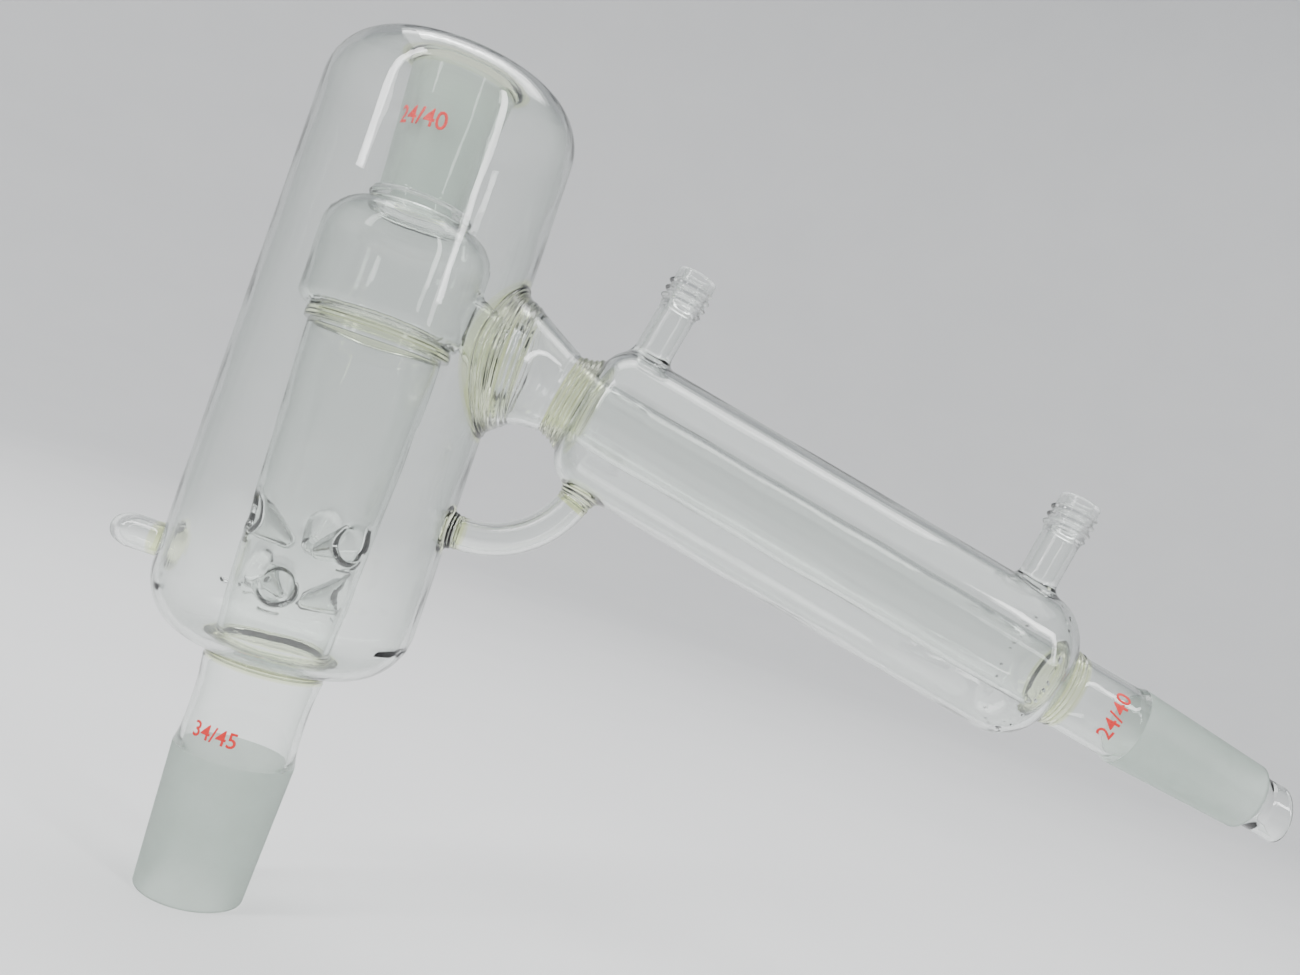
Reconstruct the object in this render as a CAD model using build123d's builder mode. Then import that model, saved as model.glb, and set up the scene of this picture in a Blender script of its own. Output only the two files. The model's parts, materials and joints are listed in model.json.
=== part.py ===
"""Vacuum-jacketed distillation head with a built-in Liebig condenser, in borosilicate glass.

Frame: +Z runs up the column axis, z = 0 is the lower tip of the bottom ground cone, and the
condenser leaves in +X, sloping down. The plane y = 0 cuts every branch in half. Units are mm.
"""
import math
import os

from build123d import *

# ---- standard joints (taper 1:10 on the diameter) ----
taper = 0.1
socket_d = 24.0          # top socket and receiver cone: nominal 24 mm, 40 mm long
socket_length = 40.0
lower_d = 34.5           # bottom cone: nominal 34.5 mm at its wide end
lower_length = 41.0

# ---- overall layout ----
neck_length = 25.0       # clear tube between the bottom cone and the base seal
jacket_od = 75.0
jacket_wall = 2.2
jacket_height = 180.0    # base of the vacuum jacket to the top of its crown
tilt = 12.2              # slope of the condenser below horizontal, degrees
branch_height = 109.5    # jacket base to the point where both axes cross

# ---- head ----
chamber_od = 50.0
chamber_wall = 1.8
chamber_corner = 5.0
column_bottom_d = 33.0
column_wall = 1.7
socket_wall = 3.5
bead_od = 30.4
bead_foot_d = 27.0       # where the bead runs into the chamber
seal_width = 2.25        # the jacket runs into its end seals this far outside the bottom cone

# ---- condenser (distances along its axis start at the crossing point) ----
condenser_od = 44.4
condenser_wall = 1.9
condenser_cylinder = 135.5
inner_tube_od = 20.0
inner_tube_wall = 1.5
receiver_od = 22.6
receiver_wall = 1.8
hose_spacing = 129.3
hose_bore_d = 8.0
hose_neck_od = 11.5
thread_d = 14.0          # GL-14 screw thread
thread_pitch = 2.5
hose_height = 50.0       # condenser axis to the hose connector rim

# ---- brace and seal-off tip ----
brace_od = 9.8
brace_wall = 1.5
brace_bend = 28.8
brace_turn = 66.0
tip_od = 10.0
tip_wall = 1.4

# ---- positions that follow from the sizes above ----
base_z = lower_length + neck_length + 3.5
crown_z = base_z + jacket_height
cross_z = base_z + branch_height
socket_top = crown_z - 2.5
socket_bottom = socket_top - socket_length
jacket_r = jacket_od / 2
seal_r = lower_d / 2 + seal_width
jacket_corner = jacket_r - seal_r            # outer radius of the crown and base shoulders
chamber_r = chamber_od / 2
chamber_shoulder = chamber_r - bead_foot_d / 2
column_top_d = chamber_od - 2 * chamber_corner
chamber_top = socket_bottom - 4.0
chamber_bottom = chamber_top - 35.0
column_top = chamber_bottom - 3.5
column_bottom = base_z + 3.5
dent_top = column_bottom + 44.0
neck_top = base_z - 3.5
condenser_r = condenser_od / 2
condenser_start = jacket_r + 19.5
bore_r = hose_bore_d / 2
socket_taper = taper / 2

cos_t = math.cos(math.radians(tilt))
sin_t = math.sin(math.radians(tilt))
cross = Vector(0, 0, cross_z)
along = Vector(cos_t, 0, -sin_t)             # down the condenser
across = Vector(sin_t, 0, cos_t)             # square to it, towards the hose connectors
column_plane = Plane.XZ                      # sketch x = radius, sketch y = height
condenser_plane = Plane(origin=cross, x_dir=along, z_dir=(0, -1, 0))
condenser_axis = Axis(cross, along)


def column_radius(z):
    """Outer radius of the tapering column at height z."""
    share = (z - column_bottom) / (column_top - column_bottom)
    return (column_bottom_d + share * (column_top_d - column_bottom_d)) / 2


def socket_outer(z):
    """Outer radius of the ground socket at height z."""
    return socket_d / 2 + socket_wall - (socket_top - z) * (socket_taper + 0.0125)


# ================= head: jacket, socket, chamber =================
with BuildPart() as jacket_core:             # the room inside the vacuum jacket, for trimming
    with BuildSketch(Plane.XY.offset(base_z)):
        Circle(jacket_r - jacket_wall)
    extrude(amount=jacket_height)

with BuildPart() as jacket_body:             # the jacket as if solid, for trimming
    with BuildSketch(Plane.XY.offset(base_z)):
        Circle(jacket_r)
    extrude(amount=jacket_height)

arm_x = [                                    # stations of the side arm, out from the column axis
    chamber_r - 9,
    jacket_r - 10.5,
    jacket_r - 6,
    jacket_r - 2.5,
    jacket_r + 0.5,
]
arm_drop = [1.8, 3.4, 4.8, 6.8, 8.5]         # how far each station sits below the crossing point
arm_r = [8.4, 8.4, 9.6, 13.2, 18.0]
arm_wall = 1.6
collar_r = 20.0
collar_z = cross_z - arm_drop[-1]
collar_x = jacket_r + 2.0

with BuildPart() as arm_bore:                # the passage inside the side arm
    for x, drop, r in zip(arm_x, arm_drop, arm_r):
        with BuildSketch(Plane(origin=(x, 0, cross_z - drop), x_dir=(0, 1, 0), z_dir=(1, 0, 0))):
            Circle(r - arm_wall)
    loft()

tip_z = base_z + jacket_corner + 3.8
tip_bore_r = tip_od / 2 - tip_wall

with BuildPart() as vacuum_jacket:
    with BuildSketch(column_plane):
        with BuildLine():
            corner = jacket_corner
            inner = jacket_corner - jacket_wall
            top_c = (seal_r, crown_z - corner)
            low_c = (seal_r, base_z + corner)
            CenterArc(top_c, corner, 0, 90)
            CenterArc(low_c, corner, 270, 90)
            Line((jacket_r, base_z + corner), (jacket_r, crown_z - corner))
            CenterArc(top_c, inner, 0, 90)
            CenterArc(low_c, inner, 270, 90)
            Line((seal_r + inner, base_z + corner), (seal_r + inner, crown_z - corner))
            Line((seal_r, crown_z), (seal_r, crown_z - jacket_wall))
            Line((seal_r, base_z), (seal_r, base_z + jacket_wall))
        make_face()
    revolve(axis=Axis.Z)
    with BuildSketch(Plane(origin=(chamber_r, 0, collar_z), x_dir=(0, 1, 0), z_dir=(1, 0, 0))):
        Circle(collar_r)
    extrude(amount=jacket_r, mode=Mode.SUBTRACT)
    with BuildSketch(Plane(origin=(-chamber_r, 0, tip_z), x_dir=(0, 1, 0), z_dir=(-1, 0, 0))):
        Circle(tip_bore_r)
    extrude(amount=jacket_r, mode=Mode.SUBTRACT)

with BuildPart() as top_socket:
    with BuildSketch(column_plane):
        with BuildLine():
            Polyline(
                (socket_d / 2, socket_top),
                (socket_outer(socket_top), socket_top),
                (socket_outer(socket_bottom), socket_bottom),
                (socket_d / 2 - socket_length * socket_taper, socket_bottom),
                close=True,
            )
        make_face()
    revolve(axis=Axis.Z)

with BuildPart() as socket_rim_seal:
    with BuildSketch(column_plane):
        with BuildLine():
            low = socket_top - 3.0
            ThreePointArc((socket_d / 2, socket_top), (13.0, socket_top + 1.7), (15.8, socket_top + 2.3))
            Line((15.8, socket_top + 2.3), (seal_r, crown_z))
            Line((seal_r, crown_z), (seal_r, crown_z - jacket_wall))
            ThreePointArc((seal_r, crown_z - jacket_wall), (16.6, low + 2.3), (socket_outer(low), low))
            Line((socket_outer(low), low), (socket_outer(socket_top), socket_top))
            Line((socket_outer(socket_top), socket_top), (socket_d / 2, socket_top))
        make_face()
    revolve(axis=Axis.Z)

shoulder_c = (chamber_r - chamber_shoulder, chamber_top - chamber_shoulder)
shoulder_r = chamber_r - chamber_shoulder
corner_c = (chamber_r - chamber_corner, chamber_bottom + chamber_corner)
corner_r = chamber_r - chamber_corner

with BuildPart() as socket_bead:
    with BuildSketch(column_plane):
        with BuildLine():
            bore = socket_d / 2 - socket_length * socket_taper
            Line((bore, socket_bottom), (socket_outer(socket_bottom), socket_bottom))
            ThreePointArc(
                (socket_outer(socket_bottom), socket_bottom),
                (bead_od / 2, (socket_bottom + chamber_top) / 2),
                (shoulder_r, chamber_top),
            )
            Line((shoulder_r, chamber_top), (shoulder_r, chamber_top - chamber_wall))
            ThreePointArc(
                (shoulder_r, chamber_top - chamber_wall),
                (bore + 0.9, chamber_top - 0.2),
                (bore, chamber_top + 2.0),
            )
            Line((bore, chamber_top + 2.0), (bore, socket_bottom))
        make_face()
    revolve(axis=Axis.Z)

with BuildPart() as vapour_chamber:
    with BuildSketch(column_plane):
        with BuildLine():
            CenterArc(shoulder_c, chamber_shoulder, 0, 90)
            Line((chamber_r, shoulder_c[1]), (chamber_r, corner_c[1]))
            CenterArc(corner_c, chamber_corner, 270, 90)
            Line((corner_r, chamber_bottom), (corner_r, chamber_bottom + chamber_wall))
            CenterArc(corner_c, chamber_corner - chamber_wall, 270, 90)
            Line((chamber_r - chamber_wall, corner_c[1]), (chamber_r - chamber_wall, shoulder_c[1]))
            CenterArc(shoulder_c, chamber_shoulder - chamber_wall, 0, 90)
            Line((shoulder_r, chamber_top - chamber_wall), (shoulder_r, chamber_top))
        make_face()
    revolve(axis=Axis.Z)
    add(arm_bore.part, mode=Mode.SUBTRACT)

with BuildPart() as chamber_core:            # chamber as if solid, for trimming the side arm
    with BuildSketch(column_plane):
        with BuildLine():
            CenterArc(shoulder_c, chamber_shoulder, 0, 90)
            Line((chamber_r, shoulder_c[1]), (chamber_r, corner_c[1]))
            CenterArc(corner_c, chamber_corner, 270, 90)
            Polyline(
                (corner_r, chamber_bottom),
                (0, chamber_bottom),
                (0, chamber_top),
                (shoulder_r, chamber_top),
            )
        make_face()
    revolve(axis=Axis.Z)

with BuildPart() as chamber_seam_ring:
    with BuildSketch(column_plane):
        with BuildLine():
            tube_r = column_top_d / 2
            throat = tube_r - column_wall
            Line((corner_r, chamber_bottom + chamber_wall), (corner_r, chamber_bottom))
            ThreePointArc(
                (corner_r, chamber_bottom),
                (tube_r + 1.7, (chamber_bottom + column_top) / 2),
                (tube_r, column_top),
            )
            Line((tube_r, column_top), (throat, column_top))
            Line((throat, column_top), (throat, chamber_bottom + 0.2))
            ThreePointArc(
                (throat, chamber_bottom + 0.2),
                (throat + 0.5, chamber_bottom + 1.35),
                (corner_r, chamber_bottom + chamber_wall),
            )
        make_face()
    revolve(axis=Axis.Z)

with BuildPart() as column_tube:
    with BuildSketch(column_plane):
        with BuildLine():
            Polyline(
                (column_radius(column_top), column_top),
                (column_radius(dent_top), dent_top),
                (column_radius(dent_top) - column_wall, dent_top),
                (column_radius(column_top) - column_wall, column_top),
                close=True,
            )
        make_face()
    revolve(axis=Axis.Z)

# ================= indented (Vigreux) part of the column =================
dent_rows = 2
dents_per_row = 3
dent_step = 16.0
dent_dip = 22.0                              # degrees the points lean down
dent_mouth = 5.6
dent_point = 1.3
dent_reach = 13.2
dent_first = dent_top - 9.0


def dent_frames():
    """One sketch plane per indentation, x out along its radius, y along its axis inwards."""
    frames = []
    for row in range(dent_rows):
        z = dent_first - row * dent_step
        for place in range(dents_per_row):
            turn = math.radians((place + row / 2) * 360 / dents_per_row + 90)
            dip = math.radians(dent_dip)
            reach = Vector(
                -math.cos(turn) * math.cos(dip),
                -math.sin(turn) * math.cos(dip),
                -math.sin(dip),
            )
            side = Vector(-math.sin(turn), math.cos(turn), 0)
            start = Vector(math.cos(turn), math.sin(turn), 0) * column_radius(z) + Vector(0, 0, z)
            frames.append((Plane(origin=start, x_dir=side, z_dir=side.cross(reach)), reach, start))
    return frames


with BuildPart() as dent_glass:              # glass round the points, trimmed to the column
    for frame, reach, start in dent_frames():
        with BuildSketch(frame):
            with BuildLine():
                wide = dent_mouth + column_wall
                thin = dent_point + 1.4
                Line((0, -4), (wide + 1, -4))
                Line((wide + 1, -4), (thin, dent_reach))
                CenterArc((0, dent_reach), thin, 0, 90)
                Line((0, dent_reach + thin), (0, -4))
            make_face()
        revolve(axis=Axis(start, reach))
    with BuildSketch(column_plane):
        with BuildLine():
            Polyline(
                (0, column_bottom),
                (column_radius(column_bottom), column_bottom),
                (column_radius(dent_top), dent_top),
                (0, dent_top),
                close=True,
            )
        make_face()
    revolve(axis=Axis.Z, mode=Mode.INTERSECT)

with BuildPart() as vigreux_section:
    with BuildSketch(column_plane):
        with BuildLine():
            Polyline(
                (column_radius(dent_top), dent_top),
                (column_radius(column_bottom), column_bottom),
                (column_radius(column_bottom) - column_wall, column_bottom),
                (column_radius(dent_top) - column_wall, dent_top),
                close=True,
            )
        make_face()
    revolve(axis=Axis.Z)
    add(dent_glass.part)
    for frame, reach, start in dent_frames():
        with BuildSketch(frame):
            with BuildLine():
                Line((0, -4), (dent_mouth + 1, -4))
                Line((dent_mouth + 1, -4), (dent_point, dent_reach))
                CenterArc((0, dent_reach), dent_point, 0, 90)
                Line((0, dent_reach + dent_point), (0, -4))
            make_face()
        revolve(axis=Axis(start, reach), mode=Mode.SUBTRACT)

# ================= foot: base seal, neck, bottom cone =================
neck_r = lower_d / 2 - 0.95
neck_wall = 1.9

with BuildPart() as base_ring_seal:
    with BuildSketch(column_plane):
        with BuildLine():
            outer = column_bottom_d / 2
            Line((outer - column_wall, column_bottom), (outer, column_bottom))
            ThreePointArc(
                (outer, column_bottom),
                (outer + 1.0, base_z + jacket_wall + 0.5),
                (seal_r, base_z + jacket_wall),
            )
            Line((seal_r, base_z + jacket_wall), (seal_r, base_z))
            ThreePointArc((seal_r, base_z), (neck_r + 1.5, base_z - 0.9), (neck_r + 0.9, neck_top))
            Line((neck_r + 0.9, neck_top), (neck_r + 0.9 - neck_wall, neck_top))
            Line((neck_r + 0.9 - neck_wall, neck_top), (outer - column_wall, column_bottom))
        make_face()
    revolve(axis=Axis.Z)

with BuildPart() as lower_neck:
    with BuildSketch(column_plane):
        with BuildLine():
            Spline(
                (neck_r + 0.9, neck_top),
                (neck_r + 0.1, neck_top - 7),
                (neck_r, neck_top - 14),
                (neck_r + 0.25, lower_length + 4),
                (lower_d / 2, lower_length),
            )
            Line((lower_d / 2, lower_length), (lower_d / 2 - 2.3, lower_length))
            Spline(
                (lower_d / 2 - 2.3, lower_length),
                (neck_r - neck_wall + 0.2, lower_length + 5),
                (neck_r - neck_wall, neck_top - 14),
                (neck_r - neck_wall + 0.1, neck_top - 7),
                (neck_r + 0.9 - neck_wall, neck_top),
            )
            Line((neck_r + 0.9 - neck_wall, neck_top), (neck_r + 0.9, neck_top))
        make_face()
    revolve(axis=Axis.Z)

with BuildPart() as lower_cone:
    with BuildSketch(column_plane):
        with BuildLine():
            foot_r = lower_d / 2 - lower_length * taper / 2
            Polyline(
                (lower_d / 2 - 2.3, lower_length),
                (lower_d / 2, lower_length),
                (foot_r, 0),
                (foot_r - 2.1, 0),
                close=True,
            )
        make_face()
    revolve(axis=Axis.Z)
    fillet(lower_cone.faces().sort_by(Axis.Z)[0].edges(), 0.7)

# ================= side arm from the chamber to the condenser =================
with BuildPart() as vapour_side_arm:
    for x, drop, r in zip(arm_x, arm_drop, arm_r):
        with BuildSketch(Plane(origin=(x, 0, cross_z - drop), x_dir=(0, 1, 0), z_dir=(1, 0, 0))):
            Circle(r)
    loft()
    with BuildSketch(Plane(origin=(arm_x[-1], 0, collar_z), x_dir=(0, 1, 0), z_dir=(1, 0, 0))):
        Circle(arm_r[-1])
    extrude(amount=collar_x - arm_x[-1])
    add(arm_bore.part, mode=Mode.SUBTRACT)
    with BuildSketch(Plane(origin=(arm_x[-1], 0, collar_z), x_dir=(0, 1, 0), z_dir=(1, 0, 0))):
        Circle(arm_r[-1] - arm_wall)
    extrude(amount=collar_x - arm_x[-1], mode=Mode.SUBTRACT)
    add(chamber_core.part, mode=Mode.SUBTRACT)

collar_axis = Axis((0, 0, collar_z), (1, 0, 0))

with BuildPart() as collar_skirt:            # fillet of glass on the outside of the jacket
    with BuildSketch(column_plane):
        with BuildLine():
            z = collar_z + collar_r
            Spline((collar_x, z), (collar_x - 2.5, z + 0.8), (collar_x - 6, z + 2.6), (29, z + 4.6))
            Polyline((29, z + 4.6), (29, z), (collar_x, z))
        make_face()
    revolve(axis=collar_axis)
    add(jacket_body.part, mode=Mode.SUBTRACT)

with BuildPart() as side_arm_collar:
    with BuildSketch(column_plane):
        with BuildLine():
            Polyline(
                (chamber_r + 3, collar_z + arm_r[-1]),
                (chamber_r + 3, collar_z + collar_r),
                (collar_x, collar_z + collar_r),
                (collar_x, collar_z + arm_r[-1]),
                close=True,
            )
        make_face()
    revolve(axis=collar_axis)
    add(jacket_core.part, mode=Mode.SUBTRACT)
    add(collar_skirt.part)

sleeve_end_r = 12.4
sleeve_bore_end = 10.6
sleeve_x = [collar_x, collar_x + 3, collar_x + 8]
sleeve_drop = [arm_drop[-1], 8.4, 9.5]
sleeve_r = [collar_r, 18.0, 15.2]
sleeve_bore = [arm_r[-1] - arm_wall, 15.7, 13.2]

with BuildPart() as sleeve_room:             # the passage inside the sleeve
    for x, drop, r in zip(sleeve_x, sleeve_drop, sleeve_bore):
        with BuildSketch(Plane(origin=(x, 0, cross_z - drop), x_dir=(0, 1, 0), z_dir=(1, 0, 0))):
            Circle(r)
    with BuildSketch(Plane(origin=cross + along * condenser_start, x_dir=(0, 1, 0), z_dir=along)):
        Circle(sleeve_bore_end)
    loft()

with BuildPart() as side_arm_sleeve:
    for x, drop, r in zip(sleeve_x, sleeve_drop, sleeve_r):
        with BuildSketch(Plane(origin=(x, 0, cross_z - drop), x_dir=(0, 1, 0), z_dir=(1, 0, 0))):
            Circle(r)
    with BuildSketch(Plane(origin=cross + along * condenser_start, x_dir=(0, 1, 0), z_dir=along)):
        Circle(sleeve_end_r)
    loft()
    add(sleeve_room.part, mode=Mode.SUBTRACT)

# ================= condenser =================
top_round = 9.5
top_c = (condenser_start + 16.0, condenser_r - top_round)
top_angle = 165.0
low_round = 13.0
low_c = (top_c[0] + condenser_cylinder, condenser_r - low_round)
low_angle = 15.0
tube_start = condenser_start + 9.0
tube_end = low_c[0] + 9.0
tube_r = inner_tube_od / 2
tube_bore = tube_r - inner_tube_wall
receiver_start = low_c[0] + 18.5
receiver_length = 19.0
receiver_r = receiver_od / 2
receiver_bore = receiver_r - receiver_wall
hose_top_s = top_c[0] + 1.0
hose_low_s = hose_top_s + hose_spacing


def on_round(centre, radius, angle):
    """Point on a shoulder arc, in the condenser sketch plane."""
    turn = math.radians(angle)
    return (centre[0] + radius * math.cos(turn), centre[1] + radius * math.sin(turn))


with BuildPart() as condenser_body:          # condenser jacket as if solid, for trimming
    with BuildSketch(condenser_plane):
        with BuildLine():
            CenterArc(top_c, top_round, 90, top_angle - 90)
            Line((top_c[0], condenser_r), (low_c[0], condenser_r))
            CenterArc(low_c, low_round, low_angle, 90 - low_angle)
            first = on_round(top_c, top_round, top_angle)
            last = on_round(low_c, low_round, low_angle)
            Polyline(last, (last[0], 0), (first[0], 0), first)
        make_face()
    revolve(axis=condenser_axis)

with BuildPart() as condenser_jacket:
    with BuildSketch(condenser_plane):
        with BuildLine():
            CenterArc(top_c, top_round, 90, top_angle - 90)
            Line((top_c[0], condenser_r), (low_c[0], condenser_r))
            CenterArc(low_c, low_round, low_angle, 90 - low_angle)
            Line(on_round(low_c, low_round, low_angle),
                 on_round(low_c, low_round - condenser_wall, low_angle))
            CenterArc(low_c, low_round - condenser_wall, low_angle, 90 - low_angle)
            Line((low_c[0], condenser_r - condenser_wall), (top_c[0], condenser_r - condenser_wall))
            CenterArc(top_c, top_round - condenser_wall, 90, top_angle - 90)
            Line(on_round(top_c, top_round - condenser_wall, top_angle),
                 on_round(top_c, top_round, top_angle))
        make_face()
    revolve(axis=condenser_axis)
    for s in (hose_top_s, hose_low_s):
        with BuildSketch(Plane(origin=cross + along * s, x_dir=along, z_dir=across)):
            Circle(bore_r)
        extrude(amount=condenser_r + 2, mode=Mode.SUBTRACT)

with BuildPart() as condenser_top_seal:
    with BuildSketch(condenser_plane):
        with BuildLine():
            outer_end = on_round(top_c, top_round, top_angle)
            inner_end = on_round(top_c, top_round - condenser_wall, top_angle)
            Line((condenser_start, sleeve_bore_end), (condenser_start, sleeve_end_r))
            Spline((condenser_start, sleeve_end_r), (condenser_start + 3.6, 13.1), outer_end)
            Line(outer_end, inner_end)
            Spline(inner_end, (condenser_start + 7.6, 12.4), (tube_start, tube_r))
            Line((tube_start, tube_r), (tube_start, tube_bore))
            Spline((tube_start, tube_bore), (condenser_start + 4.5, 9.2), (condenser_start, sleeve_bore_end))
        make_face()
    revolve(axis=condenser_axis)

with BuildPart() as condenser_inner_tube:
    with BuildSketch(Plane(origin=cross + along * tube_start, x_dir=across, z_dir=along)):
        Circle(tube_r)
        Circle(tube_bore, mode=Mode.SUBTRACT)
    extrude(amount=tube_end - tube_start)

with BuildPart() as condenser_bottom_seal:
    with BuildSketch(condenser_plane):
        with BuildLine():
            outer_end = on_round(low_c, low_round, low_angle)
            inner_end = on_round(low_c, low_round - condenser_wall, low_angle)
            Line((tube_end, tube_bore), (tube_end, tube_r))
            Spline((tube_end, tube_r), (tube_end + 1.4, 10.4), inner_end)
            Line(inner_end, outer_end)
            Spline(outer_end, (receiver_start - 3.4, receiver_r + 0.35), (receiver_start, receiver_r))
            Line((receiver_start, receiver_r), (receiver_start, receiver_bore))
            Spline((receiver_start, receiver_bore), (receiver_start - 5, 9.3), (tube_end, tube_bore))
        make_face()
    revolve(axis=condenser_axis)

cone_start = receiver_start + receiver_length
cone_end = cone_start + socket_length
cone_r = socket_d / 2
cone_tip_r = cone_r - socket_length * socket_taper
cone_bore = receiver_bore + 0.3
cone_tip_bore = cone_tip_r - 1.9

with BuildPart() as receiver_neck:
    with BuildSketch(condenser_plane):
        with BuildLine():
            Polyline(
                (receiver_start, receiver_bore),
                (receiver_start, receiver_r),
                (cone_start - 2.5, receiver_r),
                (cone_start, cone_r),
                (cone_start, cone_bore),
                (cone_start - 2.5, receiver_bore),
                close=True,
            )
        make_face()
    revolve(axis=condenser_axis)

with BuildPart() as receiver_cone:
    with BuildSketch(condenser_plane):
        with BuildLine():
            Polyline(
                (cone_start, cone_bore),
                (cone_start, cone_r),
                (cone_end, cone_tip_r),
                (cone_end, cone_tip_bore),
                close=True,
            )
        make_face()
    revolve(axis=condenser_axis)

drip_r = 8.0
drip_wall = 1.4
drip_upper = cone_end + 9.0                  # length on the hose side
drip_lower = cone_end + 13.2                 # the lower side is longer, so drops gather there

with BuildPart() as drip_tip:
    with BuildSketch(condenser_plane):
        with BuildLine():
            Line((cone_end, cone_tip_bore), (cone_end, cone_tip_r - 0.4))
            Spline((cone_end, cone_tip_r - 0.4), (cone_end + 1.6, drip_r + 0.4), (cone_end + 4, drip_r))
            Line((cone_end + 4, drip_r), (cone_end + 16, drip_r))
            Line((cone_end + 16, drip_r), (cone_end + 16, drip_r - drip_wall))
            Line((cone_end + 16, drip_r - drip_wall), (cone_end + 5, drip_r - drip_wall))
            Line((cone_end + 5, drip_r - drip_wall), (cone_end, cone_tip_bore))
        make_face()
    revolve(axis=condenser_axis)
    with BuildSketch(condenser_plane):
        with BuildLine():
            Polyline(
                (drip_upper, drip_r),
                (drip_upper - 0.4, drip_r + 4),
                (drip_lower + 9, drip_r + 4),
                (drip_lower + 9, -drip_r - 4),
                (drip_lower + 0.4, -drip_r - 4),
                (drip_lower, -drip_r),
                close=True,
            )
        make_face()
    extrude(amount=drip_r * 2, both=True, mode=Mode.SUBTRACT)

# ================= hose connectors =================
collar_top = condenser_r + 4.8
thread_start = hose_height - 12.5
thread_core = thread_d / 2 - 0.95
thread_round = 0.95
plain_rim = 2.6


def hose_plane(s):
    """Sketch plane through a connector: x along the condenser, y up the connector."""
    return Plane(origin=cross + along * s, x_dir=along, z_dir=(0, -1, 0))


def make_collar(s):
    with BuildPart() as collar:
        with BuildSketch(hose_plane(s)):
            with BuildLine():
                neck = hose_neck_od / 2
                Line((bore_r, condenser_r - 6), (9.2, condenser_r - 6))
                Line((9.2, condenser_r - 6), (9.2, condenser_r - 1.2))
                Spline(
                    (9.2, condenser_r - 1.2),
                    (7.2, condenser_r + 0.9),
                    (neck + 0.3, condenser_r + 2.9),
                    (neck, collar_top),
                )
                Line((neck, collar_top), (bore_r, collar_top))
                Line((bore_r, collar_top), (bore_r, condenser_r - 6))
            make_face()
        revolve(axis=Axis(cross + along * s, across))
        add(condenser_body.part, mode=Mode.SUBTRACT)
    return collar


def make_hose_neck(s):
    with BuildPart() as neck:
        with BuildSketch(Plane(origin=cross + along * s + across * collar_top, x_dir=along, z_dir=across)):
            Circle(hose_neck_od / 2)
            Circle(bore_r, mode=Mode.SUBTRACT)
        extrude(amount=thread_start - collar_top)
    return neck


def make_thread(s):
    foot = cross + along * s
    with BuildPart() as thread:
        with BuildSketch(hose_plane(s)):
            with BuildLine():
                Polyline(
                    (bore_r, thread_start),
                    (hose_neck_od / 2, thread_start),
                    (thread_core, thread_start + 0.8),
                    (thread_core, hose_height - 0.5),
                    (thread_core - 0.5, hose_height),
                    (bore_r + 0.4, hose_height),
                    (bore_r, hose_height - 0.4),
                    close=True,
                )
            make_face()
        revolve(axis=Axis(foot, across))
        rise = hose_height - plain_rim - thread_start - 2.4
        turns_plane = Plane(origin=foot + across * (thread_start + 1.5), x_dir=along, z_dir=across)
        with BuildLine(turns_plane) as path:
            Helix(pitch=thread_pitch, height=rise, radius=thread_core)
        with BuildSketch(Plane(origin=path.line @ 0, z_dir=path.line % 0)):
            Circle(thread_round)
        sweep(path=path.line, is_frenet=True)
        with BuildSketch(Plane(origin=foot, x_dir=along, z_dir=across)):
            Circle(bore_r)
        extrude(amount=hose_height + 2, mode=Mode.SUBTRACT)
    return thread


outlet_collar = make_collar(hose_top_s)
inlet_collar = make_collar(hose_low_s)
outlet_neck = make_hose_neck(hose_top_s)
inlet_neck = make_hose_neck(hose_low_s)
outlet_thread = make_thread(hose_top_s)
inlet_thread = make_thread(hose_low_s)

# ================= brace =================
brace_r = brace_od / 2
brace_bore = brace_r - brace_wall
bend_start = jacket_r + 4.5
turn = math.radians(brace_turn)
bend_reach = bend_start + brace_bend * math.sin(turn)
bend_drop = condenser_r + 4.6 + bend_reach * sin_t
brace_z = cross_z - bend_drop / cos_t - brace_bend * (1 - math.cos(turn))
bend_end = (bend_reach, cross_z - bend_drop / cos_t)
brace_out = Vector(math.cos(turn), 0, math.sin(turn))
end_point = Vector(bend_end[0], 0, bend_end[1])

with BuildPart() as brace_tube:
    with BuildSketch(Plane(origin=(bend_start, 0, brace_z), x_dir=(0, 1, 0), z_dir=(1, 0, 0))):
        Circle(brace_r)
        Circle(brace_bore, mode=Mode.SUBTRACT)
    revolve(axis=Axis((bend_start, 0, brace_z + brace_bend), (0, -1, 0)), revolution_arc=brace_turn)

with BuildPart() as brace_head_seal:
    with BuildSketch(column_plane):
        with BuildLine():
            Polyline((jacket_r - 3, brace_z), (jacket_r - 3, brace_z + 7.4), (jacket_r - 1, brace_z + 7.4))
            Spline(
                (jacket_r - 1, brace_z + 7.4),
                (jacket_r + 0.6, brace_z + 6.2),
                (jacket_r + 2.4, brace_z + brace_r + 0.2),
                (bend_start, brace_z + brace_r),
            )
            Line((bend_start, brace_z + brace_r), (bend_start, brace_z + brace_bore))
            Line((bend_start, brace_z + brace_bore), (jacket_r + 2.6, brace_z + brace_bore))
            Polyline(
                (jacket_r + 2.6, brace_z + brace_bore),
                (jacket_r + 1.5, brace_z + brace_bore - 1.4),
                (jacket_r + 1.5, brace_z),
                (jacket_r - 3, brace_z),
            )
        make_face()
    revolve(axis=Axis((0, 0, brace_z), (1, 0, 0)))
    add(jacket_body.part, mode=Mode.SUBTRACT)

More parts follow.
